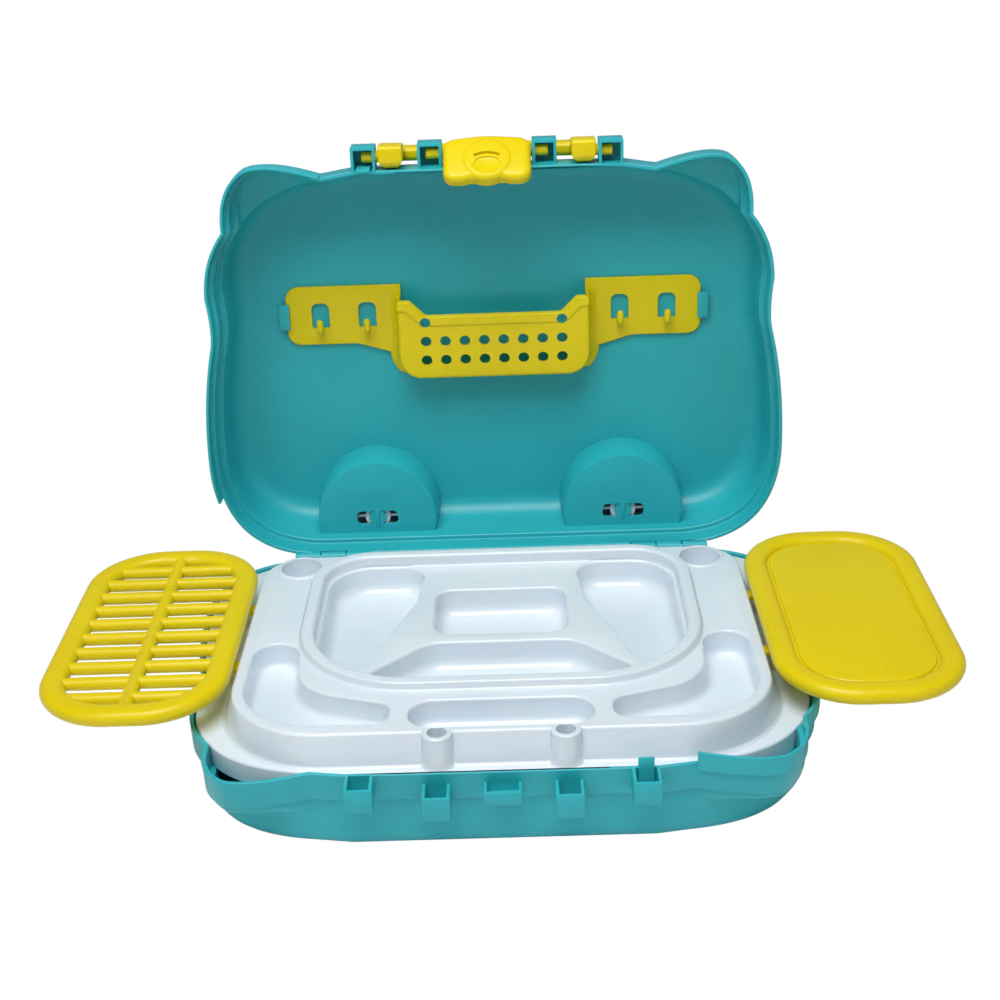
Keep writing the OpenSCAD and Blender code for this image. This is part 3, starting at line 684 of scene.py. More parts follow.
@dataclass
class Shell:
    """One moulding, used for the base and, turned over, for the lid.

    It is drawn with the rim at height 0, the face at the height of its depth, the hinge
    along y = 0 and the front wall towards +y.
    """

    # outline
    width: float = 347.0
    length: float = 240.0
    shoulder: float = 330.0
    neck_w: float = 304.0
    neck_back: float = 32.0
    notch_w: float = 192.0
    notch_back: float = 3.0
    bulge_y: float = 62.0
    waist_back: float = 68.0
    shoulder_back: float = 38.0
    corner: float = 58.0
    ear_rise: float = 51.0
    rear: float = 1.0
    fine: int = 4
    # walls, the stepped band below the rim, and the face
    depth: float = 50.0
    wall: float = 2.2
    rim_gap: float = 0.2
    band: float = 15.5
    step: float = 2.5
    draft: float = 1.4
    ear_depth: float = 23.0
    face_round: float = 15.0
    lean: float = 91.5
    # wheels: their wells, and the axle's boss with bore, snap head, split and fin
    wheel_x: float = 78.0
    wheel_y: float = 15.5
    well_r: float = 35.3
    well_floor: float = 24.2
    boss_r: float = 5.3
    boss_low: float = 22.4
    boss_top: float = 49.1
    boss_bore: Pair = (3.3, 25.2)
    head_r: float = 6.05
    head: Pair = (47.2, 47.5)
    split: Pair = (0.8, 37.8)
    fin: Triple = (1.2, 6.35, 21.6)
    fin_slot: Triple = (26.0, 9.0, 3.0)
    # the lip outside the rim: how far it lies outside the outline, and its root's inset and height
    lip_low: float = -7.0
    lip_high: float = 0.6
    lip_sides: Pair = (-1.95, -0.35)
    lip_root: Pair = (1.0, 3.0)
    # sockets on the front wall, the catch (width, reach, height), tongue, pivots and recess
    socket_w: float = 14.0
    socket_out: float = 13.5
    socket_h: float = 13.0
    socket_wall: float = 1.7
    outer_socket: float = 70.5
    inner_socket: float = 32.8
    catch_drop: float = 6.0
    catch: Triple = (19.0, 10.0, 7.0)
    tongue_half: float = 4.0
    tongue_low: float = -6.5
    tongue_high: float = 12.4
    pivot_out: float = 7.0
    handle_pivot: float = 6.5
    latch_pivot: float = 11.5
    handle_bore: float = 63.0
    latch_bore: float = 25.0
    bore_r: float = 3.25
    recess: Triple = (54.0, 47.0, 6.0)
    # hinge knuckles, and the room for the other half's
    knuckles: tuple[float, ...] = (89.0, 121.0, -105.0)
    knuckle_half: float = 7.8
    knuckle_r: float = 3.6
    knuckle_bore: float = 2.05
    room: float = 8.35
    room_r: float = 3.95
    # clips round the organiser
    organiser_back: float = 97.5
    organiser_half: float = 128.0
    organiser_low: float = 38.0
    organiser_face: float = 45.4
    clip_gap: float = 0.35
    clip_thick: float = 4.0
    clip_half: float = 8.0
    clip_hook: float = 2.0
    # ejector marks: radius, depth, and place across and behind the front
    mark_r: float = 6.5
    mark_deep: float = 0.18
    marks: tuple[Pair, ...] = ((0.0, 36.0), (58.0, 36.0), (-58.0, 36.0), (123.0, 55.0), (-123.0, 55.0))

    def __post_init__(self) -> None:
        """Works out the outlines and the places that the other pieces share."""
        self.front = self.rear + self.length
        self.hinge_y = (self.rear + self.front) / 2
        self.pivot_y = self.front + self.pivot_out
        self.neck = np.array([self.neck_w / 2, self.front - self.neck_back])
        self.notch = np.array([self.notch_w / 2, self.front - self.notch_back])
        self.eared = self.outline(0.0)
        self.plain = self.outline(1.0)
        turn = Matrix.Translation((0, self.hinge_y, self.depth))
        about = Matrix.Rotation(math.pi, 4, "Z")
        self.in_base = turn @ Matrix.Rotation(math.pi, 4, "X")
        self.from_above = Matrix.Translation((0, self.hinge_y, 0)) @ about
        self.in_lid = turn @ Matrix.Rotation(-math.radians(self.lean), 4, "X") @ about

    def side(self) -> Points:
        """The right side of the outline: rear corner, bulge, waist and shoulder.

        Returns:
            The points up to the notch's neck, without it.
        """
        n, half, neck = self.fine, self.width / 2, self.neck
        bulge = np.array([half, self.rear + self.bulge_y])
        waist = np.array([self.shoulder / 2, neck[1] - self.waist_back])
        shoulder = np.array([self.shoulder / 2 + 0.5, neck[1] - self.shoulder_back])
        corner = (half - 3.5 - self.corner, self.rear)
        return np.concatenate(
            [
                bend(corner, (half - 2.5, self.rear + 2.0), bulge, 9 * n),
                bend(bulge, bulge + [0.5, 42.0], waist, 4 * n),
                bend(waist, waist + [-2.0, 10.0], shoulder, 2 * n),
                bend(shoulder, shoulder + [-0.5, 22.0], neck, 4 * n),
            ]
        )

    def outline(self, blend: float) -> Points:
        """The case's outline.

        Args:
            blend: From 0, round the ears, to 1, without them.

        Returns:
            The closed outline.
        """
        neck, notch, n = self.neck, self.notch, self.fine
        tip = np.array([notch[0] + 42.0, notch[1] - 46.0 + self.ear_rise])
        rise = bend(neck, tip + [15.0, -9.0], tip, 5 * n)
        ear = np.concatenate([rise, bend(tip, tip + [-12.0, 5.0], notch, 5 * n)])
        body = bend(neck, neck + [-16.0, 24.0], notch, 10 * n)
        end = [notch, (notch[0] - 18.0, self.front)]
        half = np.concatenate([self.side(), ear * (1 - blend) + body * blend, end])
        return np.concatenate([half, mirrored(half)])

    def body(self, rims: Rings, fade: Pair, gaps: Pair, radius: float, foot: float) -> Solid:
        """A body from the rim, past where the ears fade out, to the rounded face.

        Args:
            rims: The rings at the rim and the band.
            fade: Height where the ears start to fade, and over how much they do.
            gaps: How far inside the outline that starts, and how much it grows.
            radius: Radius of the face's edge.
            foot: How far inside the outline the face's edge starts.

        Returns:
            The solid body.
        """
        rings = list(rims)
        for k in range(9):
            t = k / 8
            outline = self.outline(t * t * (3 - 2 * t))
            rings.append((fade[0] + fade[1] * t, inset(outline, gaps[0] + gaps[1] * t)))
        top = self.depth - self.face_round
        for k in range(10):
            a = math.pi / 2 * k / 9
            rings.append((top + radius * math.sin(a), inset(self.plain, foot + radius * (1 - math.cos(a)))))
        return Solid.loft(rings)

    def outer(self) -> Solid:
        """The moulding's outside.

        Returns:
            The solid body.
        """
        edge, band = 0.35, self.band
        steps = ((band - 0.9, 0.3), (band - 0.3, 0.6), (band, 1.3), (band + 0.5, self.step))
        rims = [(self.rim_gap, inset(self.eared, edge)), (self.rim_gap + edge, self.eared)]
        rims += [(height, inset(self.eared, gap)) for height, gap in steps]
        fade, gaps = (self.ear_depth - 4, 8), (self.step + 0.2, 0.3)
        return self.body(rims, fade, gaps, self.face_round, self.step + self.draft)

    def inner(self) -> Solid:
        """The moulding's hollow.

        Returns:
            The hollow as a solid body.
        """
        shelf, w = self.band - 1.8, self.wall
        steps = (
            (-0.6, w - 1.0),
            (self.rim_gap, w - 0.4),
            (self.rim_gap + 0.4, w),
            (shelf - 0.3, w),
            (shelf, w + 0.4),
            (shelf + 0.1, w + 2.6),
            (shelf + 0.5, w + 3.0),
        )
        rims = [(height, inset(self.eared, gap)) for height, gap in steps]
        fade, gaps = (self.ear_depth - w - 4, 7), (w + 3.1, 0.2)
        return self.body(rims, fade, gaps, self.face_round - w, w + (self.step + self.draft))

    def lip(self) -> Solid:
        """The strip outside the rim on one half, which overlaps the other shell.

        Returns:
            The strip with the foot that joins it to the wall.
        """
        first = next(i for i, p in enumerate(self.eared) if p[1] > self.rear + 40.0)
        last = len(self.side()) + 10 * self.fine
        inwards, high = self.lip_root
        far, near, root = (inset(self.eared, gap)[first : last + 1] for gap in (*self.lip_sides, inwards))
        strip = Solid.slab(np.concatenate([far, near[::-1]]), self.lip_low, self.lip_high, 0.35)
        return strip.plus(Solid.slab(np.concatenate([far, root[::-1]]), self.rim_gap, high))

    def socket(self, x: float, drop: float, w: float, out: float, high: float) -> Solid:
        """A box on the front wall, open towards the rim.

        Args:
            x: Its middle.
            drop: How far below the rim it starts.
            w: Its width.
            out: How far it stands out.
            high: Its height.

        Returns:
            The box.
        """
        t, y = self.socket_wall, self.front
        low = max(drop, self.rim_gap)
        box = Solid.block(x - w / 2, x + w / 2, y - 1.6, y + out, low, drop + high, 0.5)
        hole = Solid.block(x - w / 2 + t, x + w / 2 - t, y, y + out - t, drop - 2, drop + high - t, 0.3)
        return box.minus(hole)

    def housing(self) -> Solid:
        """The raised round housing over the right wheel, seen from inside.

        Returns:
            The housing, solid.
        """
        flat, r = 22.0, self.well_r + self.wall
        profile = [(r - 1.2, flat), (r - 0.35, flat + 0.35), (r, flat + 1.2), (r + 2, self.depth - 0.5)]
        keep = Solid.block(-200, 200, self.rear + 0.3, 200, 0, self.depth)
        return Solid.lathe(profile, 128).at(self.wheel_x, self.rear + self.wheel_y, 0).within(keep)

    def axle(self) -> Solid:
        """The boss that a wheel turns on, with its snap head and its fin.

        Returns:
            The boss round the origin.
        """
        r, head_r, (low, high) = self.boss_r, self.head_r, self.head
        profile = [(r, self.boss_low), (r, low - 0.1), (head_r, low), (head_r, high)]
        profile.append((r - 0.6, self.boss_top))
        (bore_r, bore_z), (split_x, split_z), (fin_x, fin_y, fin_z) = self.boss_bore, self.split, self.fin
        bore = Solid.lathe([(bore_r, bore_z), (bore_r, 60)], 40)
        boss = Solid.lathe(profile, 48).minus(bore, Solid.block(-split_x, split_x, -20, 20, split_z, 60))
        return boss.plus(Solid.block(-fin_x, fin_x, -fin_y, fin_y, fin_z, self.well_floor, 0.4))

    def bore(self, x: float, z: float) -> Solid:
        """The hole for a pivot pin in a socket's inner wall, on both sides."""
        return Solid.rod(x, x + 3.0, self.pivot_y, z, self.bore_r, SQUARE_END).with_mirror()

    def mould(self) -> Solid:
        """The whole moulding.

        Returns:
            The moulding.
        """
        x, y = self.wheel_x, self.rear + self.wheel_y
        body = self.outer().minus(self.inner())
        for k in self.knuckles:
            # room for the other half's knuckle
            body = body.minus(Solid.rod(-k - self.room, -k + self.room, 0, 0, self.room_r, SQUARE_END))
        body = body.plus(self.housing().with_mirror())
        well = Solid.lathe([(self.well_r, self.well_floor), (self.well_r, 70)], 128).at(x, y, 0)
        # the slot in the housing's face, in which the axle's fin shows
        slot = Solid.slab(round_rect(x, y, *self.fin_slot), 20, 26)
        body = body.minus(well.with_mirror(), slot.with_mirror())
        w, out, high = self.socket_w, self.socket_out, self.socket_h
        sockets = ((self.outer_socket, 0.0), (self.inner_socket, self.catch_drop))
        parts = [self.socket(at, drop, w, out, high).with_mirror() for at, drop in sockets]
        parts.append(self.socket(0.0, self.catch_drop, *self.catch))
        # the tongue that enters the other half's outer socket
        near, far = self.outer_socket - self.tongue_half, self.outer_socket + self.tongue_half
        y0, y1 = self.front + 0.35, self.front + 2
        parts.append(Solid.block(near, far, y0, y1, self.tongue_low, self.tongue_high, 0.3))
        body = body.plus(*parts, self.lip())
        body = body.plus(*[self.knuckle(k) for k in self.knuckles])
        body = body.plus(self.axle().at(x, y, 0).with_mirror(), *self.clips())
        bores = [self.bore(self.handle_bore, self.handle_pivot), self.bore(self.latch_bore, self.latch_pivot)]
        # the shallow recess inside the front wall's rim, between the sockets
        wide, narrow, high = self.recess
        recess = np.array([(-wide, -0.6), (wide, -0.6), (narrow, high), (-narrow, high)])
        recess = Solid.slab(recess, -20, -self.front + 0.9).moved(Matrix.Rotation(math.pi / 2, 4, "X"))
        return body.minus(*bores, recess, *self.ejector_marks())

    def ejector_marks(self) -> list[Solid]:
        """The shallow round marks that the mould's ejectors leave inside the face.

        Returns:
            The marks, to be cut away.
        """
        floor, marks = self.depth - self.wall, []
        for x, back in self.marks:
            outline = ring(x, self.front - back, self.mark_r)
            marks.append(Solid.slab(outline, floor - 1.0, floor + self.mark_deep))
        return marks

    def knuckle(self, x: float) -> Solid:
        """One hinge knuckle with its web to the rear wall.

        Args:
            x: Its middle.

        Returns:
            The knuckle, bored for the hinge wire.
        """
        half, root = self.knuckle_half, self.rear + 1
        web = np.array([(0.0, 0.6), (-3.5, 0.6), (-3.0, 1.9), (root, 12.0), (root, 0.6)])[::-1]
        made = Solid.slab(web, -half, half).moved(ALONG_X).at(x, 0, 0)
        tube = Solid.rod(x - half, x + half, 0, 0, self.knuckle_r)
        bore = Solid.rod(x - half - 1, x + half + 1, 0, 0, self.knuckle_bore, SQUARE_END)
        return tube.plus(made).minus(bore)

    def clips(self) -> list[Solid]:
        """The hooks on the floor that hold the organiser.

        Returns:
            The pair at the sides and the one below.
        """
        middle, floor = self.front - self.organiser_back, self.depth - self.wall + 0.5
        near, far, edge = middle - self.clip_half, middle + self.clip_half, self.organiser_half
        top, foot = self.organiser_face - self.clip_gap, self.organiser_face - 2.5
        start, low = edge + self.clip_gap, middle - self.organiser_low - self.clip_gap
        side = Solid.block(start, start + self.clip_thick, near, far, foot, floor, 0.5)
        side = side.plus(Solid.block(edge - self.clip_hook, start + 1, near, far, foot, top, 0.4))
        return [side.with_mirror(), Solid.block(-10.4, 10.4, low - self.clip_thick, low, foot, floor, 0.5)]

    def build(self, assembly: Assembly) -> None:
        """Shows the moulding as base and as lid.

        Args:
            assembly: What takes the pieces.
        """
        moulding = self.mould()
        assembly.show(moulding, self.in_base, Role("base_moulding", "base_shell", "base", Slot.TEAL))
        assembly.show(moulding, self.in_lid, Role("lid_moulding", "lid_shell", "lid", Slot.TEAL))


# ---- the tray ---------------------------------------------------------------


@dataclass
class Tray:
    """The lift-out tray with its dish, pockets, cups and tubes, drawn from above."""

    shell: Shell
    rise: float = 15.5
    dish_rise: float = 4.0
    block_w: float = 291.0
    block_inset: float = 24.0
    block_corners: Pair = (30.0, 55.0)
    dish_half: float = 111.0
    dish_l: float = 156.0
    dish_corners: Pair = (35.0, 64.0)
    wall: float = 2.0
    gap: float = 0.8
    deep: float = 14.5
    cup: float = 12.0
    cup_x: float = 119.0
    tube: float = 4.8
    tube_x: float = 32.0
    tube_deep: float = 17.0
    lean: float = 6.0
    slot_low: float = 8.5
    slot_high: float = 12.6
    slot_half: float = 4.35
    slots: Pair = (83.0, 147.0)

    def __post_init__(self) -> None:
        """Works out the heights and the outlines."""
        s = self.shell
        self.ledge, self.top = s.depth - 1.5, s.depth + self.rise
        self.dish_top, self.cell_top = self.top + self.dish_rise, self.top - 3.0
        self.skirt, self.floor = s.depth - s.band + 2.1, self.top - self.deep
        half, back, front = self.block_w / 2, s.rear + self.block_inset, s.front - 9.0
        d0 = back + 7.0
        d1 = d0 + self.dish_l
        self.block = self.tub(half, back, front, *self.block_corners)
        self.dish = self.tub(self.dish_half, d0, d1, *self.dish_corners)
        cross = d0 + 99.0
        side_cell = [(43, d0 + 9, 14), (101, d0 + 9, 26), (101, d1 - 50, 22)]
        side_cell += [(75, d1 - 22, 8), (62, cross - 6, 30), (48, d0 + 52, 24)]
        middle_cell = [(-38, d0 + 40, 10), (38, d0 + 40, 10), (38, cross - 6, 12), (-38, cross - 6, 12)]
        front_cell = [(-40, cross + 2, 22), (40, cross + 2, 22), (72, d1 - 24, 7)]
        front_cell += [(60, d1 - 10, 12), (-60, d1 - 10, 12), (-72, d1 - 24, 7)]
        self.cells = [rounded(cell) for cell in (side_cell, middle_cell, front_cell)]
        self.pocket = round_rect(0, front - 21.5, 94, 25, 12.4)
        comma = [(110, front - 97, 12), (134, front - 97, 12), (134, front - 34, 34), (106, front - 14, 30)]
        self.comma = rounded(comma + [(57, front - 14, 8), (57, front - 32, 8), (107, front - 48, 30)])
        self.cup_at, self.tube_at = (self.cup_x, back + 20.0), (self.tube_x, front - 4.0)

    @staticmethod
    def tub(half: float, back: float, front: float, rear_r: float, front_r: float) -> Points:
        """A rounded outline, the same on both sides, with wider corners at the front."""
        rear = [(-half, back, rear_r), (half, back, rear_r)]
        return rounded(rear + [(half, front, front_r), (-half, front, front_r)])

    def outside(self) -> Solid:
        """Everything but the hollows.

        Returns:
            The tray, solid.
        """
        ledge, top = self.ledge, self.top
        rim = Solid.slab(inset(self.shell.plain, self.shell.wall + self.gap), self.skirt, ledge, 0.4, 1.3)
        foot = rising(self.block, ledge, 2.5, gap=0.3, side=-1.0, sunk=1.0)
        block = Solid.loft(foot + closing(self.block, top, 2.2, gap=self.lean - 1.6))
        foot = rising(self.dish, top, 1.4, side=-1.0, sunk=1.0)
        dish = Solid.loft(foot + closing(self.dish, self.dish_top, 1.4, gap=0.8))
        cup = Solid.lathe([(15.3, top - 1), (14.2, top + 0.3), (13.6, top + 0.7), (13.0, top + 0.8)], 96)
        low = [(10.6, ledge - 1), (9.2, ledge + 1), (8.4, ledge + 3)]
        tube = Solid.lathe(low + [(7.6, top - 0.4), (7.2, top), (6.6, top + 0.15)], 64)
        ends = (cup.at(*self.cup_at, 0).with_mirror(), tube.at(*self.tube_at, 0).with_mirror())
        return rim.plus(block, dish, *ends)

    def make(self) -> Solid:
        """The whole tray.

        Returns:
            The tray.
        """
        body = self.outside().minus(self.underside())
        body = body.minus(Solid.hollow(inset(self.dish, 8), self.cell_top, self.dish_top, 1.6, 2.0))
        floor, top = self.floor, self.top
        for cell, both in zip(self.cells, (True, False, False)):
            cut = Solid.hollow(inset(cell, 0.6), floor - 5, self.cell_top, 7.0, 1.8)
            body = body.minus(cut.with_mirror() if both else cut)
        body = body.minus(Solid.hollow(self.pocket, floor, top, 4.0, 1.6))
        cuts = [
            Solid.hollow(self.comma, floor, top, 4.0, 1.6),
            Solid.hollow(ring(*self.cup_at, self.cup, 96), floor, top + 0.8, 2.0, 0.6),
            Solid.hollow(ring(*self.tube_at, self.tube, 48), top - self.tube_deep, top + 0.15, 1.0, 0.6),
        ]
        low, high = self.ledge + self.slot_low, self.ledge + self.slot_high
        for y in (self.shell.rear + v for v in self.slots):
            cuts.append(Solid.block(136.65, 156.65, y - self.slot_half, y + self.slot_half, low, high))
        return body.minus(*[cut.with_mirror() for cut in cuts])

    def underside(self) -> Solid:
        """The hollow below, less the bodies of the pockets.

        Returns:
            The body to cut away.
        """
        s, w = self.shell, self.wall
        under = Solid.slab(inset(s.plain, s.wall + self.gap + w), self.skirt - 1, self.ledge - w)
        under = under.plus(Solid.slab(inset(self.block, w + self.lean), self.ledge - w - 0.6, self.top - w))
        floor = self.floor - w
        cells = (self.cells[0], mirrored(self.cells[0]), *self.cells[1:])
        kept = [(inset(c, -w), floor - 5, self.top) for c in cells]
        kept += [(inset(c, -w), floor, self.top) for c in (self.pocket, self.comma, mirrored(self.comma))]
        kept.append((inset(self.dish, 8 - w), self.cell_top - w, self.top))
        for side in (-1, 1):
            kept.append((ring(side * self.cup_at[0], self.cup_at[1], self.cup + w, 48), floor, self.top))
            kept.append((ring(side * self.tube_at[0], self.tube_at[1], 7.4, 48), self.top - 19, self.top))
        return under.minus(*[Solid.slab(*k) for k in kept])

    def build(self, assembly: Assembly) -> None:
        """Shows the tray."""
        role = Role("tray_moulding", "play_tray", "tray", Slot.WHITE)
        assembly.show(self.make(), self.shell.from_above, role)


# ---- patterns ---------------------------------------------------------------


class Pattern:
    """A small Geometry Nodes tree that repeats a round bar and gives a plain mesh."""

    def __init__(self, name: str, sizes: dict[str, float]) -> None:
        """Starts the tree.

        Args:
            name: The tree's name.
            sizes: Named inputs and their values, in millimetres.
        """
        self.tree = bpy.data.node_groups.new(name, "GeometryNodeTree")
        self.sizes = sizes
        sockets = [(size, "INPUT", "NodeSocketFloat") for size in sizes]
        sockets.append(("Material", "INPUT", "NodeSocketMaterial"))
        sockets.append(("Geometry", "OUTPUT", "NodeSocketGeometry"))
        for label, way, kind in sockets:
            self.tree.interface.new_socket(label, in_out=way, socket_type=kind)
        self.given = add_node(self.tree, "NodeGroupInput")

    def size(self, name: str) -> bpy.types.NodeSocket:
        """The socket of a named input."""
        return self.given.outputs[name]

    def math(self, operation: str, a: object, b: object = 0.0, c: object = 0.0) -> bpy.types.NodeSocket:
        """One step of arithmetic."""
        return add_node(self.tree, "ShaderNodeMath", {0: a, 1: b, 2: c}, operation=operation).outputs[0]

    def make(
        self, points: bpy.types.NodeSocket, bar: bpy.types.NodeSocket, scale: object, turn: tuple
    ) -> Solid:
        """Puts the bar on each point and takes the result as a plain mesh.

        Args:
            points: Where the bars go.
            bar: The bar's geometry.
            scale: Scale of each bar.
            turn: Rotation of each bar.

        Returns:
            The bars as one mesh in millimetres.
        """
        placed = {"Points": points, "Instance": bar, "Scale": scale, "Rotation": turn}
        bars = add_node(self.tree, "GeometryNodeInstanceOnPoints", placed)
        real = add_node(self.tree, "GeometryNodeRealizeInstances", {0: bars.outputs[0]})
        finish = {"Geometry": real.outputs[0], "Material": self.size("Material")}
        dressed = add_node(self.tree, "GeometryNodeSetMaterial", finish)
        add_node(self.tree, "NodeGroupOutput", {0: dressed.outputs[0]})
        carrier = bpy.data.objects.new("carrier", bpy.data.meshes.new("carrier"))
        bpy.context.scene.collection.objects.link(carrier)
        modifier = carrier.modifiers.new("pattern", "NODES")
        modifier.node_group = self.tree
        for item in self.tree.interface.items_tree:
            if item.in_out == "INPUT" and item.name in self.sizes:
                modifier[item.identifier] = float(self.sizes[item.name])
        mesh = plain_mesh(carrier)
        bpy.data.objects.remove(carrier)
        mesh.materials.clear()
        return Solid(mesh)


def punches(columns: int, rows: int, pitch_x: float, pitch_y: float, radius: float, deep: float) -> Solid:
    """A grid of round punches along z, round the origin.

    Args:
        columns: Punches across.
        rows: Punches up.
        pitch_x: Distance across.
        pitch_y: Distance up.
        radius: Radius of one.
        deep: Length of one.

    Returns:
        The punches as one mesh.
    """
    p = Pattern("punches", {"Pitch X": pitch_x, "Pitch Y": pitch_y, "Radius": radius, "Depth": deep})
    wide = p.math("MULTIPLY", p.size("Pitch X"), columns - 1.0)
    high = p.math("MULTIPLY", p.size("Pitch Y"), rows - 1.0)
    field = {"Size X": wide, "Size Y": high, "Vertices X": columns, "Vertices Y": rows}
    grid = add_node(p.tree, "GeometryNodeMeshGrid", field)
    round_bar = {"Vertices": 40, "Radius": p.size("Radius"), "Depth": p.size("Depth")}
    bar = add_node(p.tree, "GeometryNodeMeshCylinder", round_bar)
    return p.make(grid.outputs[0], bar.outputs[0], (1.0, 1.0, 1.0), (0.0, 0.0, 0.0))


def rack_bars(count: int, pitch: float, radius: float, straight: float, corner: float, base: float) -> Solid:
    """Bars across a rounded frame, each as long as the frame is wide there.

    Args:
        count: How many bars.
        pitch: Distance between bars.
        radius: Radius of a bar.
        straight: Half the frame's straight length.
        corner: Radius of the frame's corners.
        base: Half the straight width between the corners.

    Returns:
        The bars as one mesh, along x, round the origin.
    """
    sizes = {"Pitch": pitch, "Radius": radius, "Straight": straight, "Corner": corner, "Base": base}
    p = Pattern("rack_bars", sizes)
    start = p.math("MULTIPLY", p.size("Pitch"), -(count - 1) / 2)
    origin = add_node(p.tree, "ShaderNodeCombineXYZ", {"Y": start}).outputs[0]
    shift = add_node(p.tree, "ShaderNodeCombineXYZ", {"Y": p.size("Pitch")}).outputs[0]
    row = {"Count": count, "Start Location": origin, "Offset": shift}
    line = add_node(p.tree, "GeometryNodeMeshLine", row)
    place = add_node(p.tree, "GeometryNodeInputPosition").outputs[0]
    where = add_node(p.tree, "ShaderNodeSeparateXYZ", {0: place}).outputs["Y"]
    # half a bar's length: how far the corner's circle reaches at this height
    past = p.math("MAXIMUM", p.math("SUBTRACT", p.math("ABSOLUTE", where), p.size("Straight")), 0.0)
    inner = p.math("SUBTRACT", p.math("POWER", p.size("Corner"), 2.0), p.math("POWER", past, 2.0))
    half = p.math("ADD", p.size("Base"), p.math("SQRT", p.math("MAXIMUM", inner, 1.0)))
    scale = add_node(p.tree, "ShaderNodeCombineXYZ", {"X": 1.0, "Y": 1.0, "Z": half})
    round_bar = {"Vertices": 32, "Radius": p.size("Radius"), "Depth": 2.0}
    bar = add_node(p.tree, "GeometryNodeMeshCylinder", round_bar)
    return p.make(line.outputs[0], bar.outputs[0], scale.outputs[0], (0.0, math.pi / 2, 0.0))


# ---- side plates ------------------------------------------------------------


@dataclass
class SidePlate:
    """The frame that both side plates share, drawn round its middle, left plate."""

    shell: Shell
    width: float = 100.0
    length: float = 188.0
    corner: float = 42.0
    bead: float = 13.5
    thick: float = 9.0
    bars: int = 10
    pitch: float = 15.8
    bar_r: float = 3.5
    spine_r: float = 4.0
    field_inset: float = 15.5
    tongue_low: float = -9.65
    tongue_thick: float = 3.4
    tongue_half: float = 4.0
    tongues_y: Pair = (35.0, -29.0)
    middle_x: float = 192.5
    middle_back: float = 118.0
    above_rim: float = 17.0

    def frame(self) -> Solid:
        """The rounded bead round the plate.

        Returns:
            The closed bead.
        """
        outer = round_rect(0, 0, self.width, self.length, self.corner, 3.0)
        middle = inset(outer, self.bead / 2)
        flat, r = self.bead / 2 - self.thick / 2, self.thick / 2
        turn = np.linspace(-math.pi / 2, math.pi / 2, 13)
        section = [(flat + r * math.cos(a), r * math.sin(a)) for a in turn]
        section += [(-flat - r * math.cos(a), r * math.sin(a)) for a in turn[::-1]]
        count, around = len(middle), len(section)
        rings = [inset(middle, -across) for across, _ in section]
        verts = [(*rings[k][i], section[k][1]) for i in range(count) for k in range(around)]
        faces = []
        for i in range(count):
            a, b = i * around, (i + 1) % count * around
            pairs = [(k, (k + 1) % around) for k in range(around)]
            faces += [(a + k, b + k, b + j, a + j) for k, j in pairs]
        return Solid.of(verts, faces)

    def tongues(self) -> Solid:
        """The two brackets below the inner bead and their tongues; the inner side is at +x.

        Returns:
            Brackets and tongues as one body.
        """
        x, low, parts = self.width / 2, self.tongue_low, []
        for y in self.tongues_y:
            near, far = y - self.tongue_half, y + self.tongue_half
            parts.append(Solid.block(x - 10, x - 2, near, far, low, 0, 0.6))
            parts.append(Solid.block(x - 3, x + 5.5, near, far, low, low + self.tongue_thick, 0.6))
        return parts[0].plus(*parts[1:])

    def rack(self) -> Solid:
        """The frame with its bars and spine.

        Returns:
            The rack.
        """
        straight, base = self.length / 2 - self.corner, self.width / 2 - self.corner
        bars = rack_bars(self.bars, self.pitch, self.bar_r, straight, self.corner - self.bead / 2, base)
        reach = self.length / 2 - 8
        spine = Solid.rod(-reach, reach, 0, 0, self.spine_r).moved(Matrix.Rotation(math.pi / 2, 4, "Z"))
        return self.frame().plus(bars, spine, self.tongues())

    def board(self) -> Solid:
        """The frame with its panel and the raised field on it.

        Returns:
            The board.
        """
        w, l = self.width - self.bead, self.length - self.bead
        r, g = self.corner - self.bead / 2, self.field_inset
        panel = Solid.slab(round_rect(0, 0, w, l, r, 3.0), -1.4, 1.0)
        field = Solid.slab(round_rect(0, 0, w - g, l - g, r - g / 2, 3.0), 0.5, 2.6, 0.0, 1.4)
        return self.frame().plus(panel, field, self.tongues())

    def build(self, assembly: Assembly) -> None:
        """Shows the rack on the left and the board on the right.

        Args:
            assembly: What takes the pieces.
        """
        s = self.shell
        y, z = s.hinge_y - s.rear - self.middle_back, s.depth + self.above_rim
        left = Matrix.Translation((-self.middle_x, y, z))
        right = Matrix.Translation((self.middle_x, y, z)) @ MIRROR_X
        assembly.show(self.rack(), left, Role("rack_moulding", "bar_rack", "rack", Slot.YELLOW))
        assembly.show(self.board(), right, Role("board_moulding", "side_board", "board", Slot.YELLOW))


# ---- organiser --------------------------------------------------------------


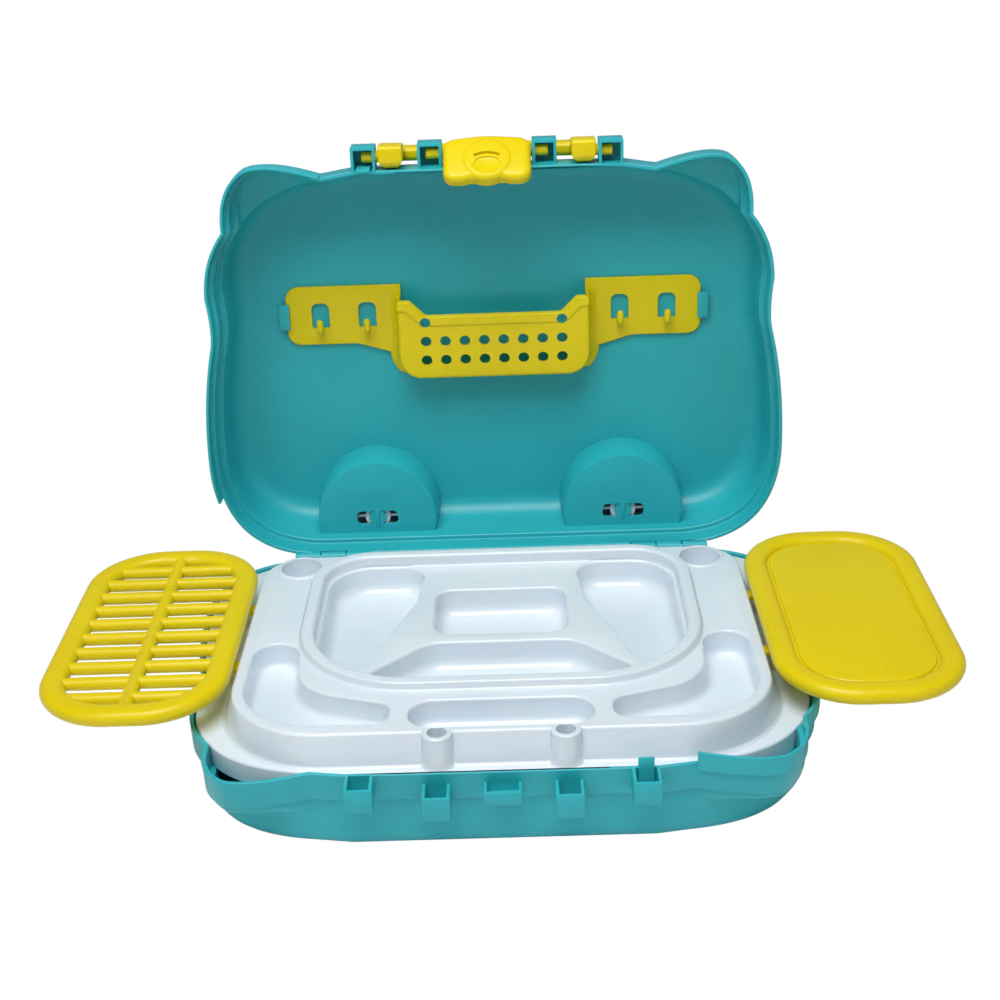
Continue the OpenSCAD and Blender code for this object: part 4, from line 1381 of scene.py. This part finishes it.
def bent_peg(radius: float, out: float, up: float, corner: float = 2.4) -> Solid:
    """A round peg that stands out along z and turns up along y.

    Args:
        radius: Radius of the peg.
        out: How far it stands out.
        up: How far it turns up.
        corner: Radius of its bend.

    Returns:
        The peg with a domed tip.
    """
    path = [(0.0, 0.0), (0.0, out - corner)]
    for a in np.linspace(0, math.pi / 2, 7)[1:]:
        path.append((corner * (1 - math.cos(a)), out - corner + corner * math.sin(a)))
    path.append((up, out))
    count = 20
    around = [(math.cos(a), math.sin(a)) for a in (2 * math.pi * q / count for q in range(count))]
    verts, faces = [], [tuple(range(count))]
    for i, (y, z) in enumerate(path):
        j, k = min(i + 1, len(path) - 1), max(i - 1, 0)
        ty, tz = path[j][0] - path[k][0], path[j][1] - path[k][1]
        n = math.hypot(ty, tz)
        verts += [(radius * c, y - tz / n * radius * s, z + ty / n * radius * s) for c, s in around]
    for shrink, ahead in ((0.86, 0.5), (0.5, 0.87)):
        small = radius * shrink
        verts += [(small * c, up + radius * ahead, out + small * s) for c, s in around]
    rings = len(path) + 2
    pairs = [(q, (q + 1) % count) for q in range(count)]
    for i in range(rings - 1):
        a, b = i * count, (i + 1) * count
        faces += [(a + q, b + q, b + r, a + r) for q, r in pairs]
    faces.append(tuple(range(rings * count - 1, (rings - 1) * count - 1, -1)))
    bm = bmesh.new()
    bm.from_mesh(Solid.of(verts, faces).mesh)
    bmesh.ops.recalc_face_normals(bm, faces=bm.faces)
    return Solid.from_bmesh(bm)


@dataclass
class Organiser:
    """The wings with hooks and the perforated pocket; z runs out towards the viewer."""

    shell: Shell
    wing_h: float = 37.0
    width: float = 256.0
    pocket_w: float = 118.0
    pocket_low: float = 105.5
    pocket_h: float = 51.0
    out: float = 17.0
    thick: float = 2.2
    back_d: float = 47.6
    pegs: Pair = (78.0, 107.0)
    peg_r: float = 1.95
    peg_out: float = 7.6
    peg_up: float = 6.5
    hole_r: float = 3.3
    pitch_x: float = 11.9
    pitch_y: float = 12.0
    holes_up: float = 18.5
    upper_hole: Pair = (41.65, 36.5)
    window: Pair = (5.5, 8.0)
    peg_drop: float = 9.0

    def edge(self, grow: float) -> list[Pair]:
        """The stepped upper edge of the pocket, from right to left.

        Args:
            grow: How far it is moved down.

        Returns:
            The edge's corners.
        """
        w, top = self.pocket_w / 2, self.pocket_low + self.pocket_h
        g = grow * 0.42
        right = [(w, top - grow), (50.5 + g, top - grow), (41 + g, top - 9.5 - grow)]
        return right + [(-x, y) for x, y in right[::-1]]

    def pocket(self) -> list[Solid]:
        """The pocket's outside and the band along its upper edge.

        Returns:
            Both, solid.
        """
        w, low, t = self.pocket_w / 2, self.pocket_low, self.thick
        front = t + self.out
        outline = rounded([(-w, low, 14), (w, low, 14)] + [(x, y, 3.0) for x, y in self.edge(0)])
        flare = rising(outline, t, 6, side=-1.0, sunk=1.0)
        box = Solid.loft(flare + closing(outline, front, 2.2, gap=0.5))
        box = box.within(Solid.block(-w - 9, w + 9, low - 0.01, low + self.pocket_h, -1, front + 2))
        corners = self.edge(0.4) + self.edge(7.6)[::-1]
        band = rounded([(x, y, 2.5) for x, y in corners])
        return [box, Solid.slab(inset(band, 0.5), front - 1, front + 0.8, 0.0, 0.8)]

    def make(self) -> Solid:
        """The whole organiser.

        Returns:
            The organiser.
        """
        w, low, t = self.pocket_w / 2, self.pocket_low, self.thick
        m, half, front = self.shell.front - self.shell.organiser_back, self.wing_h / 2, t + self.out
        right = [(w - 14, low, 12), (w + 1, low + 12, 4), (w + 26, m - half, 22)]
        right += [(self.width / 2, m - half, 8), (self.width / 2, m + half, 8)]
        left = [(-x, y, r) for x, y, r in right[::-1]]
        body = Solid.slab(rounded(right + left), 0, t, 0.0, 0.7)
        inside = self.pocket_w - 2 * t
        body = body.minus(Solid.slab(round_rect(0, low + 60, inside, 100, 4), -1, t + 1)).plus(*self.pocket())
        body = body.minus(Solid.slab(round_rect(0, low + 60 + t, inside, 120, 12), -1, front - t))
        holes = punches(8, 2, self.pitch_x, self.pitch_y, self.hole_r, 12).at(0, low + self.holes_up, front)
        hole = Solid.lathe([(self.hole_r, -6), (self.hole_r, 6)], 40)
        hole = hole.at(self.upper_hole[0], low + self.upper_hole[1], front)
        body = body.minus(holes, hole.with_mirror())
        wide, high = self.window
        for x in self.pegs:
            near, far, below, above = x - wide, x + wide, m - high, m + high
            window = rounded([(near, below, 1.2), (far, below, 1.2), (far, above, 4), (near, above, 4)])
            body = body.minus(Solid.slab(window, -1, t + 1).with_mirror())
        for x in self.pegs:
            peg = bent_peg(self.peg_r, self.peg_out, self.peg_up).at(x, m - self.peg_drop, t - 1.0)
            body = body.plus(peg.with_mirror())
        return body

    def build(self, assembly: Assembly) -> None:
        """Shows the organiser on the lid's inner face."""
        place = self.shell.in_lid @ Matrix.Translation((0, 0, self.back_d)) @ Matrix.Scale(-1, 4, (0, 0, 1))
        assembly.show(self.make(), place, Role("organiser_moulding", "organiser", "lid", Slot.YELLOW))


# ---- handle and latch -------------------------------------------------------


@dataclass
class Handle:
    """The carrying handle, folded back, drawn round its pivot: y outwards, z away from the lid."""

    shell: Shell
    half: float = 62.0
    arm: float = 14.0
    reach: float = 29.5
    pin_r: float = 3.2
    grip: Triple = (-4.0, 8.1, 12.0)

    def make(self) -> Solid:
        """Both arms, the grip and the pins.

        Returns:
            The handle.
        """
        end, half, (y, thick, high) = self.reach + 6.0, self.half, self.grip
        section = [(-6.45, -6.0, 5.0), (6.6, -6.0, 2.2), (6.6, 7.4, 4), (0.05, 11.8, 6)]
        section = rounded(section + [(0.05, end, 2.2), (-6.45, end, 2.2)], 8.0)
        arm = Solid.slab(section, half - self.arm, half, 1.2, 1.2).moved(ALONG_X)
        foot = rounded([(-7.0, -6.45, 6.2), (7.0, -6.45, 6.2), (7.0, 9.0, 1.5), (-7.0, 9.0, 1.5)])
        arm = arm.within(Solid.slab(foot, -20, 60).at(half - self.arm / 2, 0, 0))
        grip = Solid.slab(round_rect(y, self.reach, thick, high, 3.0), -half + 2, half - 2).moved(ALONG_X)
        pin = Solid.rod(half - 2, half + 9.5, 0, 0, self.pin_r)
        return arm.with_mirror().plus(grip, pin.with_mirror())

    def build(self, assembly: Assembly) -> None:
        """Shows the handle in the lid's outer sockets.

        Args:
            assembly: What takes the pieces.
        """
        s = self.shell
        place = s.in_lid @ Matrix.Translation((0, s.pivot_y, s.handle_pivot))
        assembly.show(self.make(), place, Role("handle_moulding", "handle", "handle", Slot.YELLOW))


@dataclass
class Latch:
    """The latch, drawn closed round its pivot: y outwards, z away from the other shell."""

    shell: Shell
    width: float = 50.0
    length: float = 32.0
    back: float = 5.6
    out: float = 8.5
    thick: float = 4.6
    hook: float = 24.8
    disc: float = -12.0
    swing: float = 38.0
    pin_r: float = 3.2

    def across(
        self, points: Points, low: float, high: float, round_low: float = 0.0, round_high: float = 0.0
    ) -> Solid:
        """A body whose outline lies in x and z and which grows along y."""
        flipped = points[::-1] * [1.0, -1.0]
        return Solid.slab(flipped, low, high, round_low, round_high).moved(FACE_Y)

    def plate(self) -> Solid:
        """The plate with its thick lower lobes and the round disc on it.

        Returns:
            The plate, solid.
        """
        w, low, top, out = self.width / 2, self.back - self.length, self.back, self.out
        outline = [(-w, low, 6.5), (-w + 12.5, low, 5), (-w + 14.5, low + 1.0, 3), (w - 14.5, low + 1.0, 3)]
        outline += [(w - 12.5, low, 5), (w, low, 6.5), (w, top - 2.2, 7.5), (0, top + 0.6, 60)]
        outline = rounded(outline + [(-w, top - 2.2, 7.5)], 8.0)
        body = self.across(outline, out - self.thick, out, 0.5, 3.6)
        lobes = Solid.block(-30, 30, 0, 20, low - 2, low + 5.5)
        body = body.plus(self.across(outline, 1.2, out - 3.6, 1.2).within(lobes))
        dome = [(14.0, 1.0 - out), (15.0, 2.0 - out), (15.0, -2.6), (14.8, -1.3), (14.2, -0.3)]
        dome += [(13.4, 0.4), (12.2, 0.8), (10.0, 0.9)]
        disc = Solid.lathe([(r, out + h) for r, h in dome], 96).moved(FACE_Y).at(0, 0, self.disc)
        return body.plus(disc).minus(Solid.block(-10.5, 10.5, -4, 6.2, -self.hook, self.back + 3))

    @staticmethod
    def arc(radius: float) -> Points:
        """One edge of the arched slot, from right to left."""
        turn = np.radians(np.arange(58.0, 123.0, 4.0))
        return radius * np.stack([np.cos(turn), np.sin(turn)], axis=1)

    def make(self) -> Solid:
        """The plate with the thumb's hollow, which ends at the arched slot, and ears and pins.

        Returns:
            The latch.
        """
        body, w, out, arc_z = self.plate(), self.width / 2, self.out, self.disc - 10.5
        low_arc, high_arc, slit = (self.arc(radius) for radius in (11.0, 14.6, 12.2))
        deep = [(0.5, 0.0), (3.0, 0.15), (6.0, 0.6), (9.0, 1.4), (12.0, 2.5), (15.0, 4.1)]
        thumb = Solid.lathe([(r, out - 0.6 + h) for r, h in deep], 96)
        thumb = thumb.moved(FACE_Y).at(0, 0, self.disc - 3.5)
        below = np.concatenate([low_arc, [(-20.0, -15.0), (20.0, -15.0)]])
        body = body.minus(thumb.within(self.across(below, 0, 30).at(0, 0, arc_z)))
        for arc, floor in ((high_arc, out - 0.9), (slit, 0.0)):
            band = self.across(np.concatenate([arc, low_arc[::-1]]), floor, out + 4)
            body = body.minus(band.at(0, 0, arc_z))
        ear = Solid.rod(w - 5, w, 0, 0, 3.6).plus(Solid.block(w - 5, w, 0, 6, -3.6, 2.4, 0.6))
        return body.plus(ear.with_mirror(), Solid.rod(w - 1, w + 10, 0, 0, self.pin_r).with_mirror())

    def build(self, assembly: Assembly) -> None:
        """Shows the latch in the lid's inner sockets, hanging inwards.

        Args:
            assembly: What takes the pieces.
        """
        s, turn = self.shell, Matrix.Rotation(math.radians(-self.swing), 4, "X")
        place = s.in_lid @ Matrix.Translation((0, s.pivot_y, s.latch_pivot)) @ turn
        assembly.show(self.make(), place, Role("latch_moulding", "latch", "latch", Slot.YELLOW))


# ---- floor, light and camera ------------------------------------------------


@dataclass
class Studio:
    """The plain pale floor, the soft light and the photograph's camera; sizes are in metres."""

    half: float = 4.0
    near: float = -4.0
    back: float = 3.0
    high: float = 4.0
    cove: float = 1.0
    sky: float = 0.16
    aim: Triple = (0.0, 0.0, 0.12)
    place: Triple = (0.01265, -0.77908, 0.49900)
    yaw: float = -0.7765
    pitch: float = 24.652
    roll: float = -2.0987
    lens: float = 57.713
    sensor: float = 36.0

    def build(self) -> None:
        """Makes floor, sky, lamps and camera."""
        self.floor()
        self.lights()
        self.camera()

    def paper(self) -> bpy.types.Material:
        """White paper that the camera sees as plain white.

        Returns:
            The backdrop's material.
        """
        material, tree = empty_material("white_paper_backdrop")
        paper = add_node(tree, "ShaderNodeBsdfDiffuse", {"Color": linear("#F4F5F6")}).outputs[0]
        light = {"Color": linear("#FFFFFF"), "Strength": 1.0}
        glow = add_node(tree, "ShaderNodeEmission", light).outputs[0]
        seen = add_node(tree, "ShaderNodeLightPath").outputs["Is Camera Ray"]
        mix = add_node(tree, "ShaderNodeMixShader", {"Fac": seen, 1: paper, 2: glow}).outputs[0]
        add_node(tree, "ShaderNodeOutputMaterial", {"Surface": mix})
        return material

    def floor(self) -> None:
        """A wide pale floor that runs up into a backdrop."""
        back, r = self.back, self.cove
        profile = [(self.near, 0.0), (back - r, 0.0)]
        for a in np.linspace(0, math.pi / 2, 13)[1:]:
            profile.append((back - r + r * math.sin(a), r - r * math.cos(a)))
        profile.append((back, self.high))
        verts = [(x, y, z) for y, z in profile for x in (-self.half, self.half)]
        faces = [(2 * k, 2 * k + 1, 2 * k + 3, 2 * k + 2) for k in range(len(profile) - 1)]
        mesh = bpy.data.meshes.new("studio_floor")
        mesh.from_pydata(verts, [], faces)
        mesh.shade_smooth()
        mesh.materials.append(self.paper())
        floor = bpy.data.objects.new("studio_floor", mesh)
        bpy.context.scene.collection.objects.link(floor)

    def lights(self) -> None:
        """A faint even sky, a broad window from the front left, a soft top light and a fill."""
        world = bpy.data.worlds.new("even_sky")
        bpy.context.scene.world = world
        world.use_nodes = True
        sky = world.node_tree.nodes["Background"]
        sky.inputs["Color"].default_value = linear("#F2F6FA")
        sky.inputs["Strength"].default_value = self.sky
        for name, where, size, power in (
            ("window_light", (-1.2, -1.5, 1.3), 1.4, 6.0),
            ("top_light", (-0.1, -0.45, 1.35), 0.9, 17.5),
            ("right_fill", (1.6, -0.9, 0.9), 1.2, 2.0),
        ):
            lamp = bpy.data.lights.new(name, "AREA")
            lamp.size, lamp.energy = size, power
            made = bpy.data.objects.new(name, lamp)
            made.location = where
            made.rotation_euler = (Vector(self.aim) - Vector(where)).to_track_quat("-Z", "Y").to_euler()
            bpy.context.scene.collection.objects.link(made)

    def camera(self) -> None:
        """The camera as it was fitted to the photograph."""
        yaw, pitch, roll = (math.radians(a) for a in (self.yaw, self.pitch, self.roll))
        level = math.cos(pitch)
        ahead = Vector((math.sin(yaw) * level, math.cos(yaw) * level, -math.sin(pitch)))
        right = Vector((math.cos(yaw), -math.sin(yaw), 0.0))
        up = right.cross(ahead)
        rolled_right = right * math.cos(roll) + up * math.sin(roll)
        rolled_up = up * math.cos(roll) - right * math.sin(roll)
        data = bpy.data.cameras.new("photo_camera")
        data.lens, data.sensor_width = self.lens, self.sensor
        camera = bpy.data.objects.new("photo_camera", data)
        axes = Matrix((rolled_right, rolled_up, -ahead)).transposed().to_4x4()
        camera.matrix_world = Matrix.Translation(self.place) @ axes
        bpy.context.scene.collection.objects.link(camera)
        bpy.context.scene.camera = camera
        bpy.context.scene.view_settings.view_transform = "Standard"


# ---- the scene --------------------------------------------------------------


def main() -> None:
    """Builds the scene and notes its size."""
    logging.basicConfig(level=logging.INFO, format="%(message)s")
    assembly = Assembly(Finishes())
    shell = Shell()
    shell.build(assembly)
    for part in (Tray(shell), SidePlate(shell), Organiser(shell), Handle(shell), Latch(shell)):
        part.build(assembly)
    assembly.dress_rest()
    Studio().build()


if __name__ == "__main__":
    main()
